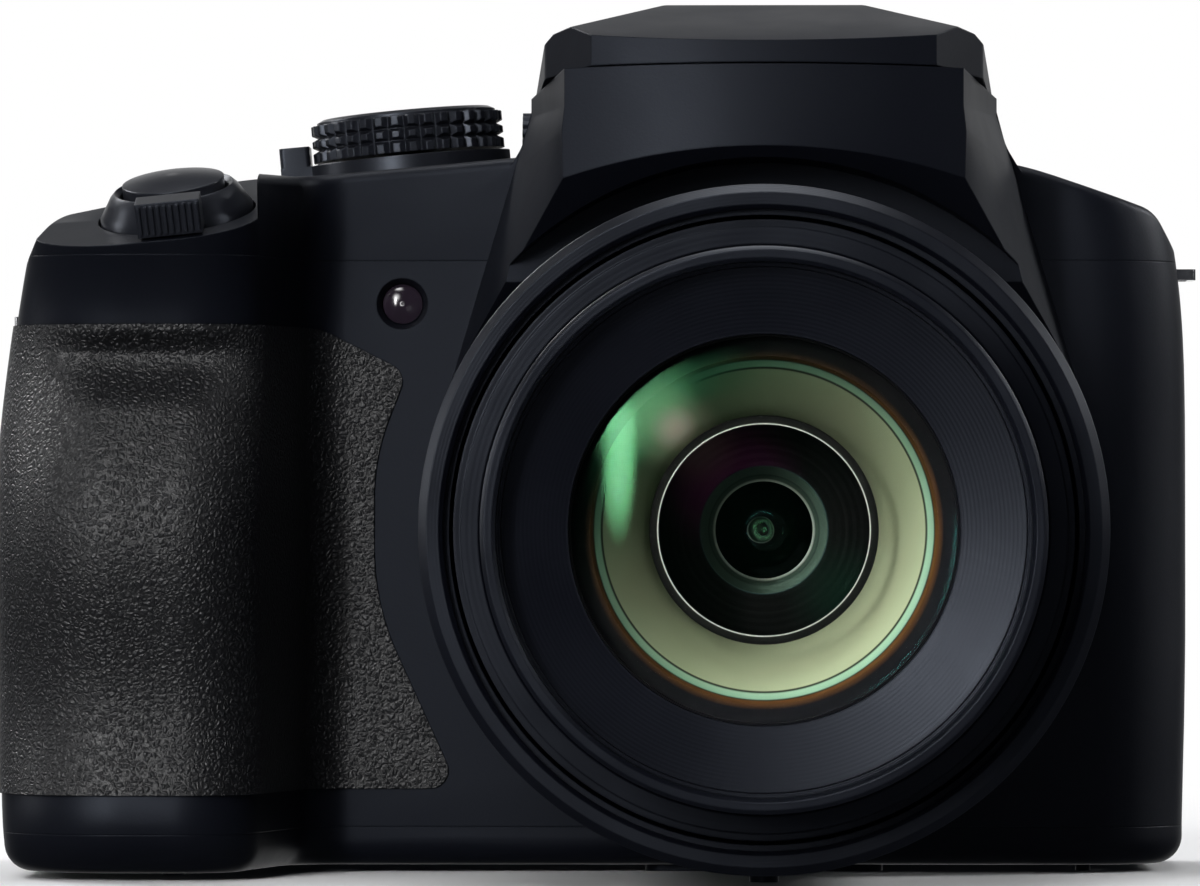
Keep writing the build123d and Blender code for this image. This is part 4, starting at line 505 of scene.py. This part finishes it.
# Knobs and levers on the deck
# Turned and moulded black controls: the mode dial with its knurl of small pyramids, the power lever
# below it, the zoom ring with a ribbed tab and the shutter button in its middle, and the rear wheel.
knob_black = (0.0062, 0.0068, 0.0098, 1)
knob_edge = (0.0150, 0.0156, 0.0190, 1)
knob_paint = spark_material("knob_satin", grains=5200.0, paint=knob_black, rubbed=knob_edge,
                            roughness=0.34, specular=0.45, depth=0.000006)
dress("zoom_lever shutter_button mode_dial power_lever rear_dial", knob_paint)

# Printing on the mode dial
# Plain numbers from one to eight round the dial's flat top, pad-printed in white ink. The ink is a film
# that turns with the dial.
dial_top, number_ring, number_size, ink_depth = 0.00700, 0.0068, 0.0026, 0.00004
number_count = 8
ink, tree, shader, place = new_material("white_ink")
worn = add(tree, "ShaderNodeTexNoise", None, {"Scale": 2500.0, "Detail": 3.0}, {"Vector": place})
tone = ramp(tree, worn.outputs["Fac"], [(0.25, (0.42, 0.42, 0.42)), (0.5, (0.62, 0.62, 0.61))])
tree.links.new(tone, shader.inputs["Base Color"])
shader.inputs["Roughness"].default_value = 0.5
turning = next(joint for joint in frame["joints"] if joint["name"] == "mode_knob_turn")
dial_axis = Vector(turning["axis"]).normalized()
dial_tilt = dial_axis.to_track_quat("Z", "Y").to_matrix().to_4x4()
dial_frame = Matrix.Translation(turning["pos_m"]) @ dial_tilt
printed = bmesh.new()
for count in range(number_count):
    letter = bpy.data.curves.new("number", "FONT")
    letter.body = str(count + 1)
    letter.size = number_size
    letter.align_x, letter.align_y = "CENTER", "CENTER"
    letter.extrude = ink_depth / 2
    holder = bpy.data.objects.new("number", letter)
    flat_number = bpy.data.meshes.new_from_object(holder)
    turn = Matrix.Rotation(-2 * pi * count / number_count, 4, "Z")
    flat_number.transform(dial_frame @ turn @ Matrix.Translation((0, number_ring, dial_top)))
    printed.from_mesh(flat_number)
    bpy.data.objects.remove(holder)
    bpy.data.curves.remove(letter)
    bpy.data.meshes.remove(flat_number)
numbers_mesh = bpy.data.meshes.new("dial_numbers")
printed.to_mesh(numbers_mesh)
printed.free()
numbers = bpy.data.objects.new("dial_numbers", numbers_mesh)
bpy.context.scene.collection.objects.link(numbers)
numbers_mesh.materials.append(ink)
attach(numbers, "mode_knob")

# Keys on the back and the deck
# Small moulded plastic caps, set in from inside the cover and held by their flanges, with a slightly
# glossier top than the cover.
key_paint = spark_material("key_satin", grains=4800.0, paint=knob_black, rubbed=knob_edge,
                           roughness=0.38, specular=0.4, depth=0.000006)
dress("set_button cursor_pad viewfinder_button lock_button playback_button quick_menu_button "
      "display_button movie_button diopter_dial", key_paint)

# Monitor
# A flush sheet of dark glass over the display panel, glued into the rear cover. The small display in
# the viewfinder and the image sensor have the same dark glass.
monitor, tree, shader, place = new_material("monitor_black_glass")
smear = add(tree, "ShaderNodeTexNoise", None, {"Scale": 60.0, "Detail": 4.0}, {"Vector": place})
tone = ramp(tree, smear.outputs["Fac"], [(0.3, (0.009, 0.010, 0.013)), (0.8, (0.015, 0.016, 0.020))])
tree.links.new(tone, shader.inputs["Base Color"])
rough = add(tree, "ShaderNodeMapRange", None,
            {"From Min": 0.3, "From Max": 0.7, "To Min": 0.04, "To Max": 0.1},
            {"Value": smear.outputs["Fac"]})
tree.links.new(rough.outputs["Result"], shader.inputs["Roughness"])
dress("monitor_glass monitor_panel viewfinder_display image_sensor", monitor)

# Viewfinder
# A soft rubber cup round the eyepiece, pushed over a rim on the hump, and the coated eyepiece glass in it.
eyepiece_tint = (0.95, 0.97, 0.96, 1)
cup, tree, shader, place = new_material("eyecup_rubber")
dust = add(tree, "ShaderNodeTexNoise", None, {"Scale": 900.0, "Detail": 4.0}, {"Vector": place})
bump = add(tree, "ShaderNodeBump", None, {"Strength": 0.4, "Distance": 0.00003},
           {"Height": dust.outputs["Fac"]})
tone = ramp(tree, dust.outputs["Fac"], [(0.3, (0.010, 0.010, 0.011)), (0.8, (0.019, 0.019, 0.021))])
tree.links.new(tone, shader.inputs["Base Color"])
tree.links.new(bump.outputs["Normal"], shader.inputs["Normal"])
shader.inputs["Roughness"].default_value = 0.62
shader.inputs["Specular IOR Level"].default_value = 0.3
dress("eyecup", cup)
dress("eyepiece_lens", coated_glass("eyepiece_glass", eyepiece_tint, magenta_coat))

# Assist lamp and flash window
# Small clear mouldings: a dark smoked lamp window in its dish, and a clear cover over the flash tube.
lamp_smoke = (0.018, 0.012, 0.020)
window_clear = (0.75, 0.76, 0.80)


def clear_moulding(name, tint, roughness, through):
    """Moulded clear plastic with slight ripples; through is the share of light that it lets pass."""
    made, tree, shader, place = new_material(name)
    ripple = add(tree, "ShaderNodeTexNoise", None, {"Scale": 500.0, "Detail": 1.0}, {"Vector": place})
    bump = add(tree, "ShaderNodeBump", None, {"Strength": 0.3, "Distance": 0.00002},
               {"Height": ripple.outputs["Fac"]})
    tree.links.new(bump.outputs["Normal"], shader.inputs["Normal"])
    tree.links.new(ramp(tree, ripple.outputs["Fac"], [(0.3, tint), (0.8, [0.8 * c for c in tint])]),
                   shader.inputs["Base Color"])
    shader.inputs["Transmission Weight"].default_value = through
    shader.inputs["Roughness"].default_value = roughness
    return made


dress("assist_lamp", clear_moulding("smoked_lamp", lamp_smoke, roughness=0.12, through=0.0))
dress("flash_window flash_tube", clear_moulding("clear_window", window_clear, roughness=0.08, through=0.85))

# Metal parts
# Chromed strap lugs, the brass tripod bush, steel screws, rods and pins, the pressed chassis and the
# polished flash reflector. They are cast in, riveted or screwed to the covers.
chrome = (0.75, 0.75, 0.77)
brass = (0.55, 0.42, 0.22)
steel = (0.45, 0.45, 0.46)
polished = (0.85, 0.85, 0.87)


def metal(name, colour, roughness, scratch):
    """Bare metal with worn patches; scratch is how many fit in a metre."""
    made, tree, shader, place = new_material(name)
    wear = add(tree, "ShaderNodeTexNoise", None, {"Scale": scratch, "Detail": 5.0}, {"Vector": place})
    dark = [0.6 * c for c in colour]
    tone = ramp(tree, wear.outputs["Fac"], [(0.3, dark), (0.7, colour)])
    tree.links.new(tone, shader.inputs["Base Color"])
    rough = add(tree, "ShaderNodeMapRange", None,
                {"From Min": 0.3, "From Max": 0.7, "To Min": roughness, "To Max": roughness + 0.12},
                {"Value": wear.outputs["Fac"]})
    tree.links.new(rough.outputs["Result"], shader.inputs["Roughness"])
    shader.inputs["Metallic"].default_value = 1.0
    return made


dress("strap_lugs", metal("lug_chrome", chrome, roughness=0.10, scratch=900.0))
dress("tripod_socket", metal("bush_brass", brass, roughness=0.25, scratch=700.0))
dress("base_screws guide_rods battery_door_pin flash_hinge_pin sensor_bracket chassis terminal_sockets",
      metal("steel_parts", steel, roughness=0.30, scratch=800.0))
dress("flash_reflector", metal("flash_reflector", polished, roughness=0.15, scratch=500.0))

# Board, battery and card
# Parts inside the covers: the circuit board screwed to the chassis, and the moulded battery and memory
# card, which sit in their moulded tray behind the door in the base.
track_dark = (0.010, 0.055, 0.030, 1)
track_light = (0.014, 0.075, 0.040, 1)
track_gap = (0.03, 0.12, 0.06, 1)
battery_grey = (0.02, 0.02, 0.022, 1)
battery_worn = (0.04, 0.04, 0.042, 1)
card_blue = (0.008, 0.014, 0.05, 1)
card_worn = (0.02, 0.03, 0.08, 1)
board, tree, shader, place = new_material("board_green")
tracks = add(tree, "ShaderNodeTexBrick", None,
             {"Scale": 240.0, "Color1": track_dark, "Color2": track_light, "Mortar": track_gap},
             {"Vector": place})
tree.links.new(tracks.outputs["Color"], shader.inputs["Base Color"])
shader.inputs["Roughness"].default_value = 0.35
dress("main_board", board)
dress("battery_tray", spark_material("tray_black", grains=3000.0, paint=cover_black, rubbed=cover_worn,
                                     roughness=0.5, specular=0.3, depth=0.00001))
dress("battery", spark_material("battery_shell", grains=3000.0, paint=battery_grey, rubbed=battery_worn,
                                roughness=0.45, specular=0.4, depth=0.00001))
dress("memory_card", spark_material("card_shell", grains=3000.0, paint=card_blue, rubbed=card_worn,
                                    roughness=0.45, specular=0.4, depth=0.00001))

# Floor, light and camera
# A white sweep under large soft lamps, clear when it is seen from below. The camera stands a metre in
# front, on the lens axis.
floor_half = 3.0
floor_bare, floor_bleached = 0.10, 0.32
floor_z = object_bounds()[0][2]
floor_mesh = bpy.data.meshes.new("floor")
bm = bmesh.new()
bmesh.ops.create_grid(bm, x_segments=1, y_segments=1, size=floor_half)
bmesh.ops.translate(bm, verts=bm.verts, vec=(0, 0, floor_z))
bm.to_mesh(floor_mesh)
bm.free()
floor = bpy.data.objects.new("floor", floor_mesh)
bpy.context.scene.collection.objects.link(floor)
floor_white, tree, shader, place = new_material("floor_white")
shader.inputs["Base Color"].default_value = (0.86, 0.86, 0.87, 1)
shader.inputs["Roughness"].default_value = 0.9
shader.inputs["Specular IOR Level"].default_value = 0.0
reach = add(tree, "ShaderNodeVectorMath", {"operation": "LENGTH"}, links={0: place})
far = add(tree, "ShaderNodeMapRange", {"interpolation_type": "SMOOTHSTEP"},
          {"From Min": floor_bare, "From Max": floor_bleached}, {"Value": reach.outputs["Value"]})
ray = tree.nodes.new("ShaderNodeLightPath")
bleach = add(tree, "ShaderNodeMath", {"operation": "MULTIPLY"},
             links={0: ray.outputs["Is Camera Ray"], 1: far.outputs["Result"]})
glow = add(tree, "ShaderNodeEmission", None, {"Color": (1, 1, 1, 1), "Strength": 1.0})
either = add(tree, "ShaderNodeMixShader", None, None,
             {0: bleach.outputs["Value"], 1: shader.outputs["BSDF"], 2: glow.outputs["Emission"]})
under = tree.nodes.new("ShaderNodeNewGeometry")
clear = tree.nodes.new("ShaderNodeBsdfTransparent")
one_way = add(tree, "ShaderNodeMixShader", None, None,
              {0: under.outputs["Backfacing"], 1: either.outputs["Shader"], 2: clear.outputs["BSDF"]})
tree.links.new(one_way.outputs["Shader"], tree.nodes["Material Output"].inputs["Surface"])
floor_mesh.materials.append(floor_white)
floor.visible_glossy = False
floor.visible_transmission = False

# World: white to the camera, and in glass and reflections only from behind the object, where the white
# background stands; the studio in front of it is nearly dark.
world = bpy.data.worlds.new("studio")
bpy.context.scene.world = world
world.use_nodes = True
sky = world.node_tree
sky.nodes.clear()
ray = sky.nodes.new("ShaderNodeLightPath")
heading = sky.nodes.new("ShaderNodeTexCoord")
parts = add(sky, "ShaderNodeSeparateXYZ", links={"Vector": heading.outputs["Generated"]})
behind = add(sky, "ShaderNodeMapRange", {"interpolation_type": "SMOOTHSTEP"},
             {"From Min": 0.80, "From Max": 1.0}, {"Value": parts.outputs["Y"]})
optical = add(sky, "ShaderNodeMath", {"operation": "MAXIMUM"},
              links={0: ray.outputs["Is Glossy Ray"], 1: ray.outputs["Is Transmission Ray"]})
mirrored = add(sky, "ShaderNodeMath", {"operation": "MULTIPLY"},
               links={0: optical.outputs["Value"], 1: behind.outputs["Result"]})
seen = add(sky, "ShaderNodeMath", {"operation": "MAXIMUM"},
           links={0: ray.outputs["Is Camera Ray"], 1: mirrored.outputs["Value"]})
dim = add(sky, "ShaderNodeBackground", None, {"Color": (0.85, 0.90, 1.0, 1), "Strength": 0.05})
white = add(sky, "ShaderNodeBackground", None, {"Color": (1, 1, 1, 1), "Strength": 1.0})
both = add(sky, "ShaderNodeMixShader", None, None,
           {0: seen.outputs["Value"], 1: dim.outputs["Background"], 2: white.outputs["Background"]})
add(sky, "ShaderNodeOutputWorld", links={"Surface": both.outputs["Shader"]})


def softbox(name, place, aim, width, height, power):
    """A rectangular lamp that fades towards its edge."""
    lamp = bpy.data.lights.new(name, "AREA")
    lamp.shape = "RECTANGLE"
    lamp.size, lamp.size_y = width, height
    lamp.energy = power
    lamp.use_nodes = True
    glow = lamp.node_tree.nodes["Emission"]
    face = lamp.node_tree.nodes.new("ShaderNodeNewGeometry")
    centre = add(lamp.node_tree, "ShaderNodeVectorMath", {"operation": "DISTANCE"}, {1: (0.5, 0.5, 0)},
                 {0: face.outputs["Parametric"]})
    fade = add(lamp.node_tree, "ShaderNodeMapRange", {"interpolation_type": "SMOOTHSTEP"},
               {"From Min": 0.5, "From Max": 0.1, "To Max": 2.2}, {"Value": centre.outputs["Value"]})
    lamp.node_tree.links.new(fade.outputs["Result"], glow.inputs["Strength"])
    made = bpy.data.objects.new(name, lamp)
    place, aim = Vector(place), Vector(aim)
    turn = (aim - place).to_track_quat("-Z", "Y").to_matrix().to_4x4()
    made.matrix_world = Matrix.Translation(place) @ turn
    bpy.context.scene.collection.objects.link(made)


# Two lamps stand in front at the left, the second one tall and narrow for the grip. Others graze both
# sides, hang above and over the deck, and light the back.
middle = (-0.02, -0.02, 0.04)
hump = (0.0, 0.02, 0.05)
softbox("key", (-0.42, -1.10, 0.46), middle, width=0.50, height=0.50, power=5.0)
softbox("grip", (-0.46, -1.10, 0.26), (-0.06, -0.02, 0.04), width=0.14, height=0.6, power=7.0)
softbox("rim_left", (-1.1, 0.10, 0.30), middle, width=0.25, height=0.9, power=2.6)
softbox("rim_right", (0.95, -0.30, 0.45), (0.03, -0.02, 0.04), width=0.20, height=0.9, power=1.5)
softbox("top", (0.0, 0.15, 1.1), (0.0, -0.02, 0.05), width=1.0, height=0.6, power=6.5)
softbox("brow", (-0.30, -0.85, 0.85), (-0.04, -0.02, 0.06), width=0.6, height=0.25, power=4.0)
softbox("back_left", (-0.9, 0.8, 1.0), hump, width=0.7, height=0.7, power=16.0)
softbox("back_right", (1.2, 0.5, 0.7), hump, width=0.5, height=0.9, power=14.0)

# Camera: it looks along the lens axis and is turned a little to the left and up, to the body's middle.
view_distance, view_left, view_up = 1.0, 0.01812, 0.00961
focal_length, sensor_width, nearest = 271.5, 36.0, 0.01
eye = Vector((0, -view_distance, lens_axis.z))
aim = Vector((-view_left, 0, lens_axis.z + view_up))
lens_camera = bpy.data.cameras.new("view")
lens_camera.lens = focal_length
lens_camera.sensor_width = sensor_width
lens_camera.clip_start = nearest
view = bpy.data.objects.new("view", lens_camera)
turn = (aim - eye).to_track_quat("-Z", "Y").to_matrix().to_4x4()
view.matrix_world = Matrix.Translation(eye) @ turn
bpy.context.scene.collection.objects.link(view)
bpy.context.scene.camera = view
bpy.context.scene.view_settings.view_transform = "Standard"
